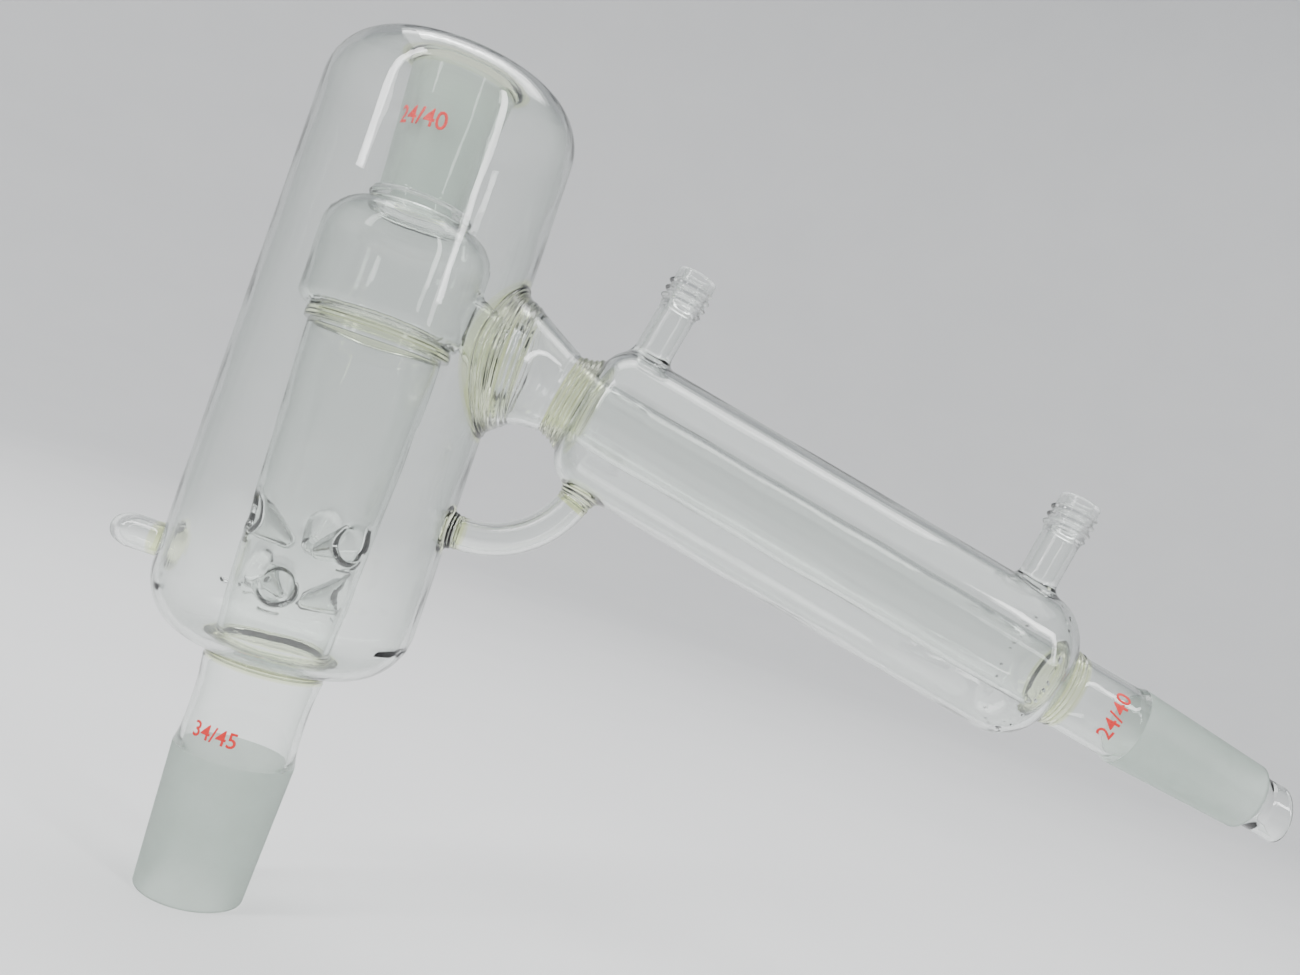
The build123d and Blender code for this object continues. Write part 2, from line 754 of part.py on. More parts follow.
with BuildPart() as brace_condenser_seal:
    with BuildSketch(Plane(origin=end_point, x_dir=brace_out, z_dir=(0, -1, 0))):
        with BuildLine():
            Line((0, brace_bore), (0, brace_r))
            Spline((0, brace_r), (2.2, brace_r + 0.2), (4.2, 6.1), (7.6, 7.4))
            Line((7.6, 7.4), (7.6, 0))
            Line((7.6, 0), (3.4, 0))
            ThreePointArc((3.4, 0), (3.0, brace_bore - 1), (2.0, brace_bore))
            Line((2.0, brace_bore), (0, brace_bore))
        make_face()
    revolve(axis=Axis(end_point, brace_out))
    add(condenser_body.part, mode=Mode.SUBTRACT)

# ================= vacuum seal-off tip =================
tip_start = jacket_r + 4.5
tip_end = jacket_r + 17.0
tip_round = tip_od / 2

with BuildPart() as vacuum_tip_seal:
    with BuildSketch(column_plane):
        with BuildLine():
            Line((-chamber_r - 8, tip_z + tip_bore_r), (-chamber_r - 8, tip_z + 8.4))
            Line((-chamber_r - 8, tip_z + 8.4), (-jacket_r + 1, tip_z + 8.4))
            Spline(
                (-jacket_r + 1, tip_z + 8.4),
                (-jacket_r - 1.2, tip_z + 6.6),
                (-jacket_r - 3, tip_z + tip_round + 0.3),
                (-tip_start, tip_z + tip_round),
            )
            Line((-tip_start, tip_z + tip_round), (-tip_start, tip_z + tip_bore_r))
            Line((-tip_start, tip_z + tip_bore_r), (-chamber_r - 8, tip_z + tip_bore_r))
        make_face()
    revolve(axis=Axis((0, 0, tip_z), (1, 0, 0)))
    add(jacket_body.part, mode=Mode.SUBTRACT)

with BuildPart() as vacuum_tip:
    with BuildSketch(column_plane):
        with BuildLine():
            Line((-tip_start, tip_z + tip_bore_r), (-tip_start, tip_z + tip_round))
            Line((-tip_start, tip_z + tip_round), (-tip_end + tip_round, tip_z + tip_round))
            CenterArc((-tip_end + tip_round, tip_z), tip_round, 90, 90)
            Line((-tip_end, tip_z), (-tip_end + tip_wall * 1.6, tip_z))
            ThreePointArc(
                (-tip_end + tip_wall * 1.6, tip_z),
                (-tip_end + tip_round - tip_bore_r * 0.55, tip_z + tip_bore_r * 0.8),
                (-tip_end + tip_round + 0.6, tip_z + tip_bore_r),
            )
            Line((-tip_end + tip_round + 0.6, tip_z + tip_bore_r), (-tip_start, tip_z + tip_bore_r))
        make_face()
    revolve(axis=Axis((0, 0, tip_z), (1, 0, 0)))

# ================= names and export =================
pieces = {
    "vacuum_jacket": vacuum_jacket,
    "top_socket": top_socket,
    "socket_rim_seal": socket_rim_seal,
    "socket_bead": socket_bead,
    "vapour_chamber": vapour_chamber,
    "chamber_seam_ring": chamber_seam_ring,
    "column_tube": column_tube,
    "vigreux_section": vigreux_section,
    "base_ring_seal": base_ring_seal,
    "lower_neck": lower_neck,
    "lower_cone": lower_cone,
    "vapour_side_arm": vapour_side_arm,
    "side_arm_collar": side_arm_collar,
    "side_arm_sleeve": side_arm_sleeve,
    "condenser_top_seal": condenser_top_seal,
    "condenser_jacket": condenser_jacket,
    "condenser_inner_tube": condenser_inner_tube,
    "condenser_bottom_seal": condenser_bottom_seal,
    "receiver_neck": receiver_neck,
    "receiver_cone": receiver_cone,
    "drip_tip": drip_tip,
    "outlet_collar": outlet_collar,
    "outlet_neck": outlet_neck,
    "outlet_thread": outlet_thread,
    "inlet_collar": inlet_collar,
    "inlet_neck": inlet_neck,
    "inlet_thread": inlet_thread,
    "brace_tube": brace_tube,
    "brace_head_seal": brace_head_seal,
    "brace_condenser_seal": brace_condenser_seal,
    "vacuum_tip_seal": vacuum_tip_seal,
    "vacuum_tip": vacuum_tip,
}

os.makedirs("parts", exist_ok=True)
for label, piece in pieces.items():
    piece.part.label = label
    export_step(piece.part, f"parts/{label}.step")
    size = piece.part.bounding_box().size
    print(f"{label}: {len(piece.part.solids())} solid, {piece.part.volume:.1f} mm3, "
          f"{size.X:.1f} x {size.Y:.1f} x {size.Z:.1f}")
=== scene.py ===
import json
import math

import bmesh
import bpy
import numpy as np
from mathutils import Matrix, Vector


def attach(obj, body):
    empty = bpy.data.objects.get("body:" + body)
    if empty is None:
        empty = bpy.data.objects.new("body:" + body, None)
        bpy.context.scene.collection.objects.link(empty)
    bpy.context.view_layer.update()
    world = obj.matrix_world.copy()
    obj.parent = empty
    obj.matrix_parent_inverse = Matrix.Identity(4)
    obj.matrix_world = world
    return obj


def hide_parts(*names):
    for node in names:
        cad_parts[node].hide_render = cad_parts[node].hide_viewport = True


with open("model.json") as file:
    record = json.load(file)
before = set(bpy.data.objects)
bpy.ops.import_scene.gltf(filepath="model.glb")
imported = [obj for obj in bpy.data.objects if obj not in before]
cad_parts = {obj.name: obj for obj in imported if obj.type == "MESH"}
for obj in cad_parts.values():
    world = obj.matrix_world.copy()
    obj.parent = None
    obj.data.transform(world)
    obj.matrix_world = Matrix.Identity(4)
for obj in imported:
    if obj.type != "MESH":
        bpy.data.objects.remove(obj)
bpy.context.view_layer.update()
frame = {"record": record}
mm = 0.001
around = 180             # points on every large ring
full = 2 * math.pi


# A branch axis: d runs along it, e1 is its zero angle, and e2 completes a right-handed set
class Axis:
    def __init__(self, origin, d, e1):
        self.o = np.array(origin, float)
        self.d = np.array(d, float) / np.linalg.norm(d)
        e1 = np.array(e1, float) - self.d * np.dot(e1, self.d)
        self.e1 = e1 / np.linalg.norm(e1)
        self.e2 = np.cross(self.d, self.e1)

    # Points at distance s along the axis, r from it and turned phi from e1
    def at(self, s, r, phi):
        s, r, phi = np.broadcast_arrays(np.asarray(s, float), r, phi)
        return (self.o + s[..., None] * self.d
                + (r * np.cos(phi))[..., None] * self.e1 + (r * np.sin(phi))[..., None] * self.e2)

    def local(self, p):
        q = np.asarray(p, float) - self.o
        x, y = q @ self.e1, q @ self.e2
        return q @ self.d, np.hypot(x, y), np.arctan2(y, x)


layout = {
    "crossHeight": 179.0,      # where the column and condenser axes cross
    "tilt": 12.2,              # slope of the condenser, degrees
}
slope = math.radians(layout["tilt"])
alongDir = np.array([math.cos(slope), 0, -math.sin(slope)])
acrossDir = np.array([math.sin(slope), 0, math.cos(slope)])
crossPoint = np.array([0, 0, layout["crossHeight"]])
columnAxis = Axis((0, 0, 0), (0, 0, 1), (1, 0, 0))
condenserAxis = Axis(crossPoint, alongDir, acrossDir)
evenTurn = np.arange(around) * full / around


print("stage: materials")


def socket(group, name, kind, value=None, inward=True):
    s = group.interface.new_socket(name, in_out="INPUT" if inward else "OUTPUT", socket_type=kind)
    if value is not None:
        s.default_value = value
    return s


def noise(tree, vector, scale, detail, rough=0.5):
    n = tree.nodes.new("ShaderNodeTexNoise")
    n.inputs["Scale"].default_value = scale
    n.inputs["Detail"].default_value = detail
    n.inputs["Roughness"].default_value = rough
    tree.links.new(vector, n.inputs["Vector"])
    return n.outputs["Fac"]


def maths(tree, kind, a, b=0.0, clamp=False):
    n = tree.nodes.new("ShaderNodeMath")
    n.operation = kind
    n.use_clamp = clamp
    for i, v in enumerate((a, b)):
        if isinstance(v, (int, float)):
            n.inputs[i].default_value = v
        else:
            tree.links.new(v, n.inputs[i])
    return n.outputs[0]


# Draw lines, ripples and faint dust of worked glass. Gives a normal, a roughness and a tint
def glassGroup():
    g = bpy.data.node_groups.new("workedGlass", "ShaderNodeTree")
    socket(g, "Axis turn", "NodeSocketFloat", 0.0)
    socket(g, "Line strength", "NodeSocketFloat", 0.5)
    socket(g, "Ripple strength", "NodeSocketFloat", 0.5)
    socket(g, "Dust", "NodeSocketFloat", 0.02)
    socket(g, "Tint", "NodeSocketColor", (1, 1, 1, 1))
    socket(g, "Depth tint", "NodeSocketColor", (0.95, 1, 0.96, 1))
    socket(g, "Normal", "NodeSocketVector", inward=False)
    socket(g, "Roughness", "NodeSocketFloat", inward=False)
    socket(g, "Colour", "NodeSocketColor", inward=False)
    nodes, links = g.nodes, g.links
    gin, gout = nodes.new("NodeGroupInput"), nodes.new("NodeGroupOutput")
    coord = nodes.new("ShaderNodeTexCoord")
    spin = nodes.new("ShaderNodeCombineXYZ")
    links.new(gin.outputs["Axis turn"], spin.inputs[1])
    turned = nodes.new("ShaderNodeMapping")
    links.new(coord.outputs["Object"], turned.inputs["Vector"])
    links.new(spin.outputs[0], turned.inputs["Rotation"])
    long = nodes.new("ShaderNodeMapping")
    long.inputs["Scale"].default_value = (160, 160, 6)
    links.new(turned.outputs[0], long.inputs["Vector"])

    lines = noise(g, long.outputs[0], 1.0, 3.0)
    ripple = noise(g, turned.outputs[0], 55.0, 2.0)
    height = maths(g, "ADD", maths(g, "MULTIPLY", lines, gin.outputs["Line strength"]),
                   maths(g, "MULTIPLY", ripple, gin.outputs["Ripple strength"]))
    bump = nodes.new("ShaderNodeBump")
    bump.inputs["Strength"].default_value = 0.35
    bump.inputs["Distance"].default_value = 0.0004
    links.new(height, bump.inputs["Height"])
    links.new(bump.outputs[0], gout.inputs["Normal"])
    smear = noise(g, turned.outputs[0], 38.0, 6.0, 0.7)
    specks = noise(g, turned.outputs[0], 900.0, 2.0, 0.6)
    haze = maths(g, "MULTIPLY", maths(g, "POWER", smear, 3.0), maths(g, "MULTIPLY", specks, 2.0))
    links.new(maths(g, "MULTIPLY", haze, gin.outputs["Dust"]), gout.inputs["Roughness"])
    mix = nodes.new("ShaderNodeMix")
    mix.data_type = "RGBA"
    links.new(maths(g, "MULTIPLY", smear, 0.8), mix.inputs["Factor"])
    links.new(gin.outputs["Tint"], mix.inputs["A"])
    links.new(gin.outputs["Depth tint"], mix.inputs["B"])
    links.new(mix.outputs["Result"], gout.inputs["Colour"])
    return g


# Fine grinding of the joint faces: grain, turning marks and patches polished by use
def frostGroup():
    g = bpy.data.node_groups.new("groundFace", "ShaderNodeTree")
    socket(g, "Axis turn", "NodeSocketFloat", 0.0)
    socket(g, "Grain", "NodeSocketFloat", 1.0)
    socket(g, "Base roughness", "NodeSocketFloat", 0.45)
    socket(g, "Pale", "NodeSocketColor", (0.86, 0.9, 0.87, 1))
    socket(g, "Worn", "NodeSocketColor", (0.74, 0.8, 0.76, 1))
    socket(g, "Normal", "NodeSocketVector", inward=False)
    socket(g, "Roughness", "NodeSocketFloat", inward=False)
    socket(g, "Colour", "NodeSocketColor", inward=False)
    nodes, links = g.nodes, g.links
    gin, gout = nodes.new("NodeGroupInput"), nodes.new("NodeGroupOutput")
    coord = nodes.new("ShaderNodeTexCoord")
    spin = nodes.new("ShaderNodeCombineXYZ")
    links.new(gin.outputs["Axis turn"], spin.inputs[1])
    turned = nodes.new("ShaderNodeMapping")
    links.new(coord.outputs["Object"], turned.inputs["Vector"])
    links.new(spin.outputs[0], turned.inputs["Rotation"])
    flat = nodes.new("ShaderNodeMapping")
    flat.inputs["Scale"].default_value = (60, 60, 1400)
    links.new(turned.outputs[0], flat.inputs["Vector"])

    grain = noise(g, turned.outputs[0], 2600.0, 3.0, 0.7)
    marks = noise(g, flat.outputs[0], 1.0, 2.0)
    patch = noise(g, turned.outputs[0], 90.0, 4.0, 0.6)
    bump = nodes.new("ShaderNodeBump")
    bump.inputs["Strength"].default_value = 0.5
    bump.inputs["Distance"].default_value = 0.00012
    height = maths(g, "ADD", grain, maths(g, "MULTIPLY", marks, 0.7))
    links.new(maths(g, "MULTIPLY", height, gin.outputs["Grain"]), bump.inputs["Height"])
    links.new(bump.outputs[0], gout.inputs["Normal"])
    worn = maths(g, "MULTIPLY", maths(g, "SUBTRACT", patch, 0.5), 0.25)
    links.new(maths(g, "ADD", gin.outputs["Base roughness"], worn), gout.inputs["Roughness"])
    mix = nodes.new("ShaderNodeMix")
    mix.data_type = "RGBA"
    links.new(patch, mix.inputs["Factor"])
    links.new(gin.outputs["Pale"], mix.inputs["A"])
    links.new(gin.outputs["Worn"], mix.inputs["B"])
    links.new(mix.outputs["Result"], gout.inputs["Colour"])
    return g


glassTree, frostTree = glassGroup(), frostGroup()


# Principled glass that lets straight light through to what lies behind, as thin ware does
def glassMaterial(name, tree, settings, transmission=1.0, lit=0.85, edge=(0.26, 0.33, 0.29, 1)):
    m = bpy.data.materials.new(name)
    m.use_nodes = True
    nodes, links = m.node_tree.nodes, m.node_tree.links
    shader = nodes["Principled BSDF"]
    effect = nodes.new("ShaderNodeGroup")
    effect.node_tree = tree
    for key, value in settings.items():
        effect.inputs[key].default_value = value
    shader.inputs["Transmission Weight"].default_value = transmission
    shader.inputs["IOR"].default_value = glassIndex
    slant = nodes.new("ShaderNodeLayerWeight")
    slant.inputs["Blend"].default_value = 0.5
    deeper = nodes.new("ShaderNodeMix")
    deeper.data_type = "RGBA"
    links.new(maths(m.node_tree, "POWER", slant.outputs["Facing"], 2.3), deeper.inputs["Factor"])
    links.new(effect.outputs["Colour"], deeper.inputs["A"])
    deeper.inputs["B"].default_value = edge
    links.new(deeper.outputs["Result"], shader.inputs["Base Color"])
    links.new(effect.outputs["Roughness"], shader.inputs["Roughness"])
    links.new(effect.outputs["Normal"], shader.inputs["Normal"])
    path = nodes.new("ShaderNodeLightPath")
    through = nodes.new("ShaderNodeBsdfTransparent")
    through.inputs["Color"].default_value = (lit, lit, lit, 1)
    mix = nodes.new("ShaderNodeMixShader")
    links.new(path.outputs["Is Shadow Ray"], mix.inputs["Fac"])
    links.new(shader.outputs[0], mix.inputs[1])
    links.new(through.outputs[0], mix.inputs[2])
    links.new(mix.outputs[0], nodes["Material Output"].inputs["Surface"])
    return m


glassIndex = 1.473       # borosilicate
finish = {
    "clear": {"Line strength": 0.5, "Ripple strength": 0.6, "Dust": 0.05,
              "Tint": (0.985, 0.995, 0.985, 1), "Depth tint": (0.955, 0.985, 0.965, 1)},
    "seal": {"Line strength": 0.1, "Ripple strength": 1.4, "Dust": 0.04,
             "Tint": (0.93, 0.965, 0.76, 1), "Depth tint": (0.87, 0.93, 0.62, 1)},
    "ground": {"Grain": 1.0, "Base roughness": 0.5,
               "Pale": (0.57, 0.65, 0.60, 1), "Worn": (0.44, 0.51, 0.46, 1)},
}
sloped = math.radians(90 + layout["tilt"])
clearUp = glassMaterial("clear_upright", glassTree, {**finish["clear"], "Axis turn": 0.0})
clearSlope = glassMaterial("clear_sloped", glassTree, {**finish["clear"], "Axis turn": -sloped})
sealEdge = (0.34, 0.41, 0.16, 1)
sealGlass = glassMaterial("seal_glass", glassTree, {**finish["seal"], "Axis turn": 0.0}, edge=sealEdge)
frosted = {"transmission": 0.55, "lit": 0.6}
groundUp = glassMaterial("ground_upright", frostTree, {**finish["ground"], "Axis turn": 0.0}, **frosted)
groundSlope = glassMaterial("ground_sloped", frostTree, {**finish["ground"], "Axis turn": -sloped}, **frosted)


# The cut inside fused glass can't be seen
def seamMaterial():
    m = bpy.data.materials.new("fused_face")
    m.use_nodes = True
    nodes, links = m.node_tree.nodes, m.node_tree.links
    nodes.remove(nodes["Principled BSDF"])
    clear = nodes.new("ShaderNodeBsdfTransparent")
    links.new(clear.outputs[0], nodes["Material Output"].inputs["Surface"])
    return m


fusedFace = seamMaterial()


def line(a, b, n):
    t = np.linspace(0, 1, n + 1)[:, None]
    return np.array(a, float) * (1 - t) + np.array(b, float) * t


# Points on the circle through a, m and b
def arc3(a, m, b, n):
    a, m, b = (np.array(p, float) for p in (a, m, b))
    lhs = np.array([m - a, b - a]) * 2
    rhs = np.array([m @ m - a @ a, b @ b - a @ a])
    c = np.linalg.solve(lhs, rhs)
    angle = [math.atan2(*(p - c)[::-1]) for p in (a, m, b)]
    total = (angle[2] - angle[0]) % full
    if (angle[1] - angle[0]) % full > total:
        total -= full
    t = angle[0] + np.linspace(0, 1, n + 1) * total
    return c + np.linalg.norm(a - c) * np.stack([np.cos(t), np.sin(t)], 1)


# A smooth curve through the points, n steps to a span
def curve(points, n):
    p = np.array(points, float)
    p = np.vstack([2 * p[0] - p[1], p, 2 * p[-1] - p[-2]])
    out = []
    t = np.linspace(0, 1, n + 1)[:, None]
    for i in range(1, len(p) - 2):
        a, b, c, d = p[i - 1:i + 3]
        span = 0.5 * (2 * b + (c - a) * t + (2 * a - 5 * b + 4 * c - d) * t ** 2
                      + (3 * b - a - 3 * c + d) * t ** 3)
        out.append(span if i == 1 else span[1:])
    return np.vstack(out)


def joined(*parts):
    out = [np.array(parts[0], float)]
    for p in parts[1:]:
        p = np.array(p, float)
        out.append(p[1:] if np.allclose(p[0], out[-1][-1], atol=1e-6) else p)
    return np.vstack(out)


def steps(a, b, size):
    n = max(1, round(abs(b - a) / size))
    return np.linspace(a, b, n + 1)


# Joins lists of stations and leaves out the doubled ends
def rows(*parts):
    out = list(parts[0])
    for p in parts[1:]:
        out += [v for v in p if abs(v - out[-1]) > 1e-6]
    return np.array(out)


patches = []             # (piece, rings or a grid with the cells to keep, kind, lift of each ring)


# A strip of closed rings; it becomes quads of that piece
def skin(piece, rings, kind="glass", lift=None):
    patches.append((piece, np.array(rings, float), kind, lift))


# The clear cut face that two fused pieces share
def seam(one, other, ringA, ringB):
    for piece in (one, other):
        patches.append((piece, np.array([ringA, ringB], float), "seam", None))


def disc(one, other, rings):
    for piece in (one, other):
        patches.append((piece, np.array(rings, float), "seam", None))


# How far each of count rings stands out where the flame left wrinkles; places run from 0 to 1
def ridges(count, places, height, width=0.06):
    t = np.linspace(0, 1, count)
    fade = np.clip(8 * t, 0, 1) * np.clip(8 * (1 - t), 0, 1)
    return fade * sum(height * np.exp(-((t - p) / width) ** 2) for p in places)


def wrinkled(piece, rings, places, height, width=0.06):
    skin(piece, rings, "glass", ridges(len(rings), places, height, width))


# Profile rows are (distance along the axis, radius)
def lathe(axis, profile, turn=evenTurn):
    p = np.array(profile, float)
    return axis.at(p[:, :1], p[:, 1:], turn[None, :])


# A surface of revolution whose radius is radiusAt(s), with rectangular windows for branches
class Shell:
    def __init__(self, piece, axis, radiusAt, stations, kind="glass", count=around):
        self.piece, self.axis, self.radiusAt, self.kind = piece, axis, radiusAt, kind
        self.s = np.array(stations, float)
        self.n = count
        self.keep = np.ones((len(self.s) - 1, count), bool)
        self.turn = np.arange(count) * full / count

    def surface(self, s, phi):
        return self.axis.at(s, self.radiusAt(s), phi)

    def ring(self, i):
        return self.surface(self.s[i], self.turn)

    def build(self):
        grid = self.surface(self.s[:, None], self.turn[None, :])
        patches.append((self.piece, (grid, self.keep), self.kind, None))

    # Takes out the cells from station low to high, half columns each side of the middle angle.
    # Gives the edge that is left, as (s, phi)
    def window(self, low, high, middle, half):
        i0, i1 = (int(np.argmin(abs(self.s - v))) for v in (low, high))
        assert abs(self.s[i0] - low) < 0.02 and abs(self.s[i1] - high) < 0.02, (low, high)
        j = round(middle / full * self.n)
        cols = [(j + k) % self.n for k in range(-half, half)]
        assert self.keep[i0:i1][:, cols].all(), "windows overlap"
        for c in cols:
            self.keep[i0:i1, c] = False
        step = full / self.n
        left, right = (j - half) * step, (j + half) * step
        edge = [(self.s[i1], left + k * step) for k in range(2 * half)]
        edge += [(self.s[i], right) for i in range(i1, i0, -1)]
        edge += [(self.s[i0], right - k * step) for k in range(2 * half)]
        edge += [(self.s[i], left) for i in range(i0, i1)]
        return np.array(edge)


# Moves each point along d until it lies on the shell
def dropOn(shell, p, d):
    h = np.zeros(len(p))

    def miss(h):
        s, r, phi = shell.axis.local(p + h[:, None] * d)
        return r - shell.radiusAt(s)

    for _ in range(40):
        f = miss(h)
        g = (miss(h + 1e-4) - f) / 1e-4
        g = np.where(abs(g) < 0.15, np.sign(g + 1e-12) * 0.15, g)
        h = h - np.clip(f / g, -2, 2)
    q = p + h[:, None] * d
    s, r, phi = shell.axis.local(q)
    return q, s, phi


# Rings on the shell from a window's edge to a circle of radius reach about the branch axis
def branch(shell, edge, axis, reach, count=4):
    p = shell.surface(edge[:, 0], edge[:, 1])
    s, r, turn = axis.local(p)
    start = int(np.argmin(abs(turn)))
    edge, turn = np.roll(edge, -start, 0), np.roll(turn, -start)
    if (turn[1] - turn[0] + math.pi) % full - math.pi < 0:
        edge, turn = np.roll(edge[::-1], 1, 0), np.roll(turn[::-1], 1)
    turn = np.unwrap(turn)
    turn = turn - turn[0]
    h0 = float(np.mean(axis.local(shell.surface(edge[:, 0], edge[:, 1]))[0]))
    foot, fs, fphi = dropOn(shell, axis.at(h0, reach, turn), axis.d)
    nearer, _, _ = dropOn(shell, axis.at(h0, reach * 0.97, turn), axis.d)
    inward = nearer - foot
    inward /= np.linalg.norm(inward, axis=1)[:, None]
    fphi = edge[:, 1] + (fphi - edge[:, 1] + math.pi) % full - math.pi
    rings = []
    for t in np.linspace(0, 1, count + 1):
        rings.append(shell.surface(edge[:, 0] * (1 - t) + fs * t, edge[:, 1] * (1 - t) + fphi * t))
    rings[-1] = foot
    skin(shell.piece, rings, shell.kind)
    return foot, inward


# Rings that turn from the shell into a tube's first ring; away is the tube's direction there
def fillet(foot, inward, ring, away, count=9, grip=(0.5, 0.45)):
    away = np.broadcast_to(np.array(away, float), ring.shape)
    away = away / np.linalg.norm(away, axis=1)[:, None]
    size = np.linalg.norm(ring - foot, axis=1)[:, None]
    p1, p2 = foot + inward * size * grip[0], ring - away * size * grip[1]
    out = []
    for t in np.linspace(0, 1, count + 1):
        u = 1 - t
        out.append(u ** 3 * foot + 3 * t * u ** 2 * p1 + 3 * t * t * u * p2 + t ** 3 * ring)
    out[0], out[-1] = foot, ring
    return out


# Rings through stations of (centre, direction, radius), smoothly; every ring is evenly divided
def tube(stations, size=1.3):
    c = curve([s[0] for s in stations], 24)
    r = curve([(i, s[2]) for i, s in enumerate(stations)], 24)[:, 1]
    d = curve([s[1] for s in stations], 24)
    gone = np.concatenate([[0], np.cumsum(np.linalg.norm(np.diff(c, axis=0), axis=1))])
    want = steps(0, gone[-1], size)
    out = []
    for w in want:
        here = [np.interp(w, gone, c[:, k]) for k in range(3)]
        aim = [np.interp(w, gone, d[:, k]) for k in range(3)]
        ax = Axis(here, aim, (0, 0, 1) if abs(aim[2]) < 0.9 * np.linalg.norm(aim) else (-1, 0, 0))
        out.append(ax.at(0, np.interp(w, gone, r), evenTurn))
    return out


# Adds the point that closes a rounded end
def stop(rings, axis, s, r, turn):
    return list(rings) + [axis.at(s, r, turn) * 0 + axis.at(s, 0, 0)]


# Radius of a tube whose ends round inwards below low and above high
def rounded(r, low, high, roundLow, roundHigh):
    def radiusAt(s):
        s = np.asarray(s, float)
        below, above = np.clip(low - s, 0, roundLow), np.clip(s - high, 0, roundHigh)
        return (r - roundLow + np.sqrt(roundLow ** 2 - below ** 2)
                - roundHigh + np.sqrt(roundHigh ** 2 - above ** 2))
    return radiusAt


# Stations on a rounded end, evenly spaced by angle from the straight wall (0) to the axis side (90)
def roundRows(centre, radius, start, end, n):
    return centre + radius * np.sin(np.radians(np.linspace(start, end, n + 1)))


print("stage: jacket")
jacket = {
    "radius": 37.5, "wall": 2.2, "round": 18.0, "straight": (87.5, 231.5),
    "collarSpan": (143.2, 197.8), "trumpetSpan": (145.2, 195.8),
    "tipSpan": (82.3, 100.3), "braceSpan": (109.7, 129.7),
    "baseOuterStart": 16.8, "baseInnerStart": 19.3,      # degrees on the rounded base, where its seal ends
}


def jacketShells():
    low, high = jacket["straight"]
    tipSpan, braceSpan, collarSpan, trumpetSpan = (
        jacket[k + "Span"] for k in ("tip", "brace", "collar", "trumpet"))
    inRound = jacket["round"] - jacket["wall"]
    outerRows = rows(
        roundRows(low, -jacket["round"], 90, jacket["baseOuterStart"], 18), np.linspace(*tipSpan, 17),
        steps(tipSpan[1], braceSpan[0], 1.2), np.linspace(*braceSpan, 34),
        steps(braceSpan[1], collarSpan[0], 1.3), np.linspace(*collarSpan, 43),
        steps(collarSpan[1], high, 1.5), roundRows(high, jacket["round"], 0, 90, 24))
    innerRows = rows(
        roundRows(low, -inRound, 90, jacket["baseInnerStart"], 16), np.linspace(*tipSpan, 17),
        steps(tipSpan[1], trumpetSpan[0], 1.4), np.linspace(*trumpetSpan, 47),
        steps(trumpetSpan[1], high, 1.5), roundRows(high, inRound, 0, 90, 20))
    outer = rounded(jacket["radius"], low, high, jacket["round"], jacket["round"])
    inner = rounded(jacket["radius"] - jacket["wall"], low, high, inRound, inRound)
    return (Shell("vacuum_jacket", columnAxis, outer, outerRows),
            Shell("vacuum_jacket", columnAxis, inner, innerRows))


jacketSkin, jacketRoom = jacketShells()
collarEdge = jacketSkin.window(*jacket["collarSpan"], 0, 24)
trumpetEdge = jacketRoom.window(*jacket["trumpetSpan"], 0, 22)
tipEdge = jacketSkin.window(*jacket["tipSpan"], math.pi, 7)
tipRoomEdge = jacketRoom.window(*jacket["tipSpan"], math.pi, 7)
braceEdge = jacketSkin.window(*jacket["braceSpan"], 0, 8)
jacketSkin.build()
jacketRoom.build()
seam("vacuum_jacket", "socket_rim_seal", jacketSkin.ring(-1), jacketRoom.ring(-1))
seam("vacuum_jacket", "base_ring_seal", jacketSkin.ring(0), jacketRoom.ring(0))

print("stage: head")
socket24 = {"top": 247.0, "bottom": 207.0, "wide": 12.0, "narrow": 10.0, "backTop": 244.0, "backWide": 15.31,
            "backNarrow": 13.0}
wide, narrow = (socket24["top"], socket24["wide"]), (socket24["bottom"], socket24["narrow"])
backWide = (socket24["backTop"], socket24["backWide"])
backNarrow = (socket24["bottom"], socket24["backNarrow"])
bore = lathe(columnAxis, line(wide, narrow, 40))
socketBack = lathe(columnAxis, line(backWide, backNarrow, 37))
skin("top_socket", bore, "ground")
skin("top_socket", socketBack)
rimProfile = joined(arc3(wide, (248.7, 13.0), (249.3, 15.8), 8), line((249.3, 15.8), (249.5, 19.5), 5))
skin("socket_rim_seal", lathe(columnAxis, rimProfile))
skin("socket_rim_seal", lathe(columnAxis, arc3((247.3, 19.5), (246.3, 16.6), backWide, 8)))
seam("socket_rim_seal", "top_socket", bore[0], socketBack[0])
beadBore = lathe(columnAxis, joined(
    line(narrow, (205, 10), 3), arc3((205, 10), (202.8, 10.9), (201.2, 13.5), 18)))
beadBack = lathe(columnAxis, arc3(backNarrow, (205, 15.2), (203, 13.5), 30))
wrinkled("socket_bead", beadBore, (0.3, 0.6), 0.2, 0.07)
wrinkled("socket_bead", beadBack, (0.22, 0.5, 0.78), 0.3, 0.07)
seam("top_socket", "socket_bead", bore[-1], socketBack[-1])

chamber = {
    "radius": 25.0, "wall": 1.8, "straight": (173.0, 191.5), "roundFoot": 5.0, "roundTop": 11.5,
    "armTop": 190.2, "armFoot": 168.602, "armRoomFoot": 170.1,
}


def chamberShell(inset, footAngle, armFoot, topCount):
    low, high = chamber["straight"]
    roundFoot, roundTop = chamber["roundFoot"] - inset, chamber["roundTop"] - inset
    stations = rows(
        roundRows(low, -roundFoot, 90, footAngle, 3), np.linspace(armFoot, chamber["armTop"], 61),
        steps(chamber["armTop"], high, 0.7), roundRows(high, roundTop, 0, 90, topCount))
    radiusAt = rounded(chamber["radius"] - inset, low, high, roundFoot, roundTop)
    return Shell("vapour_chamber", columnAxis, radiusAt, stations)


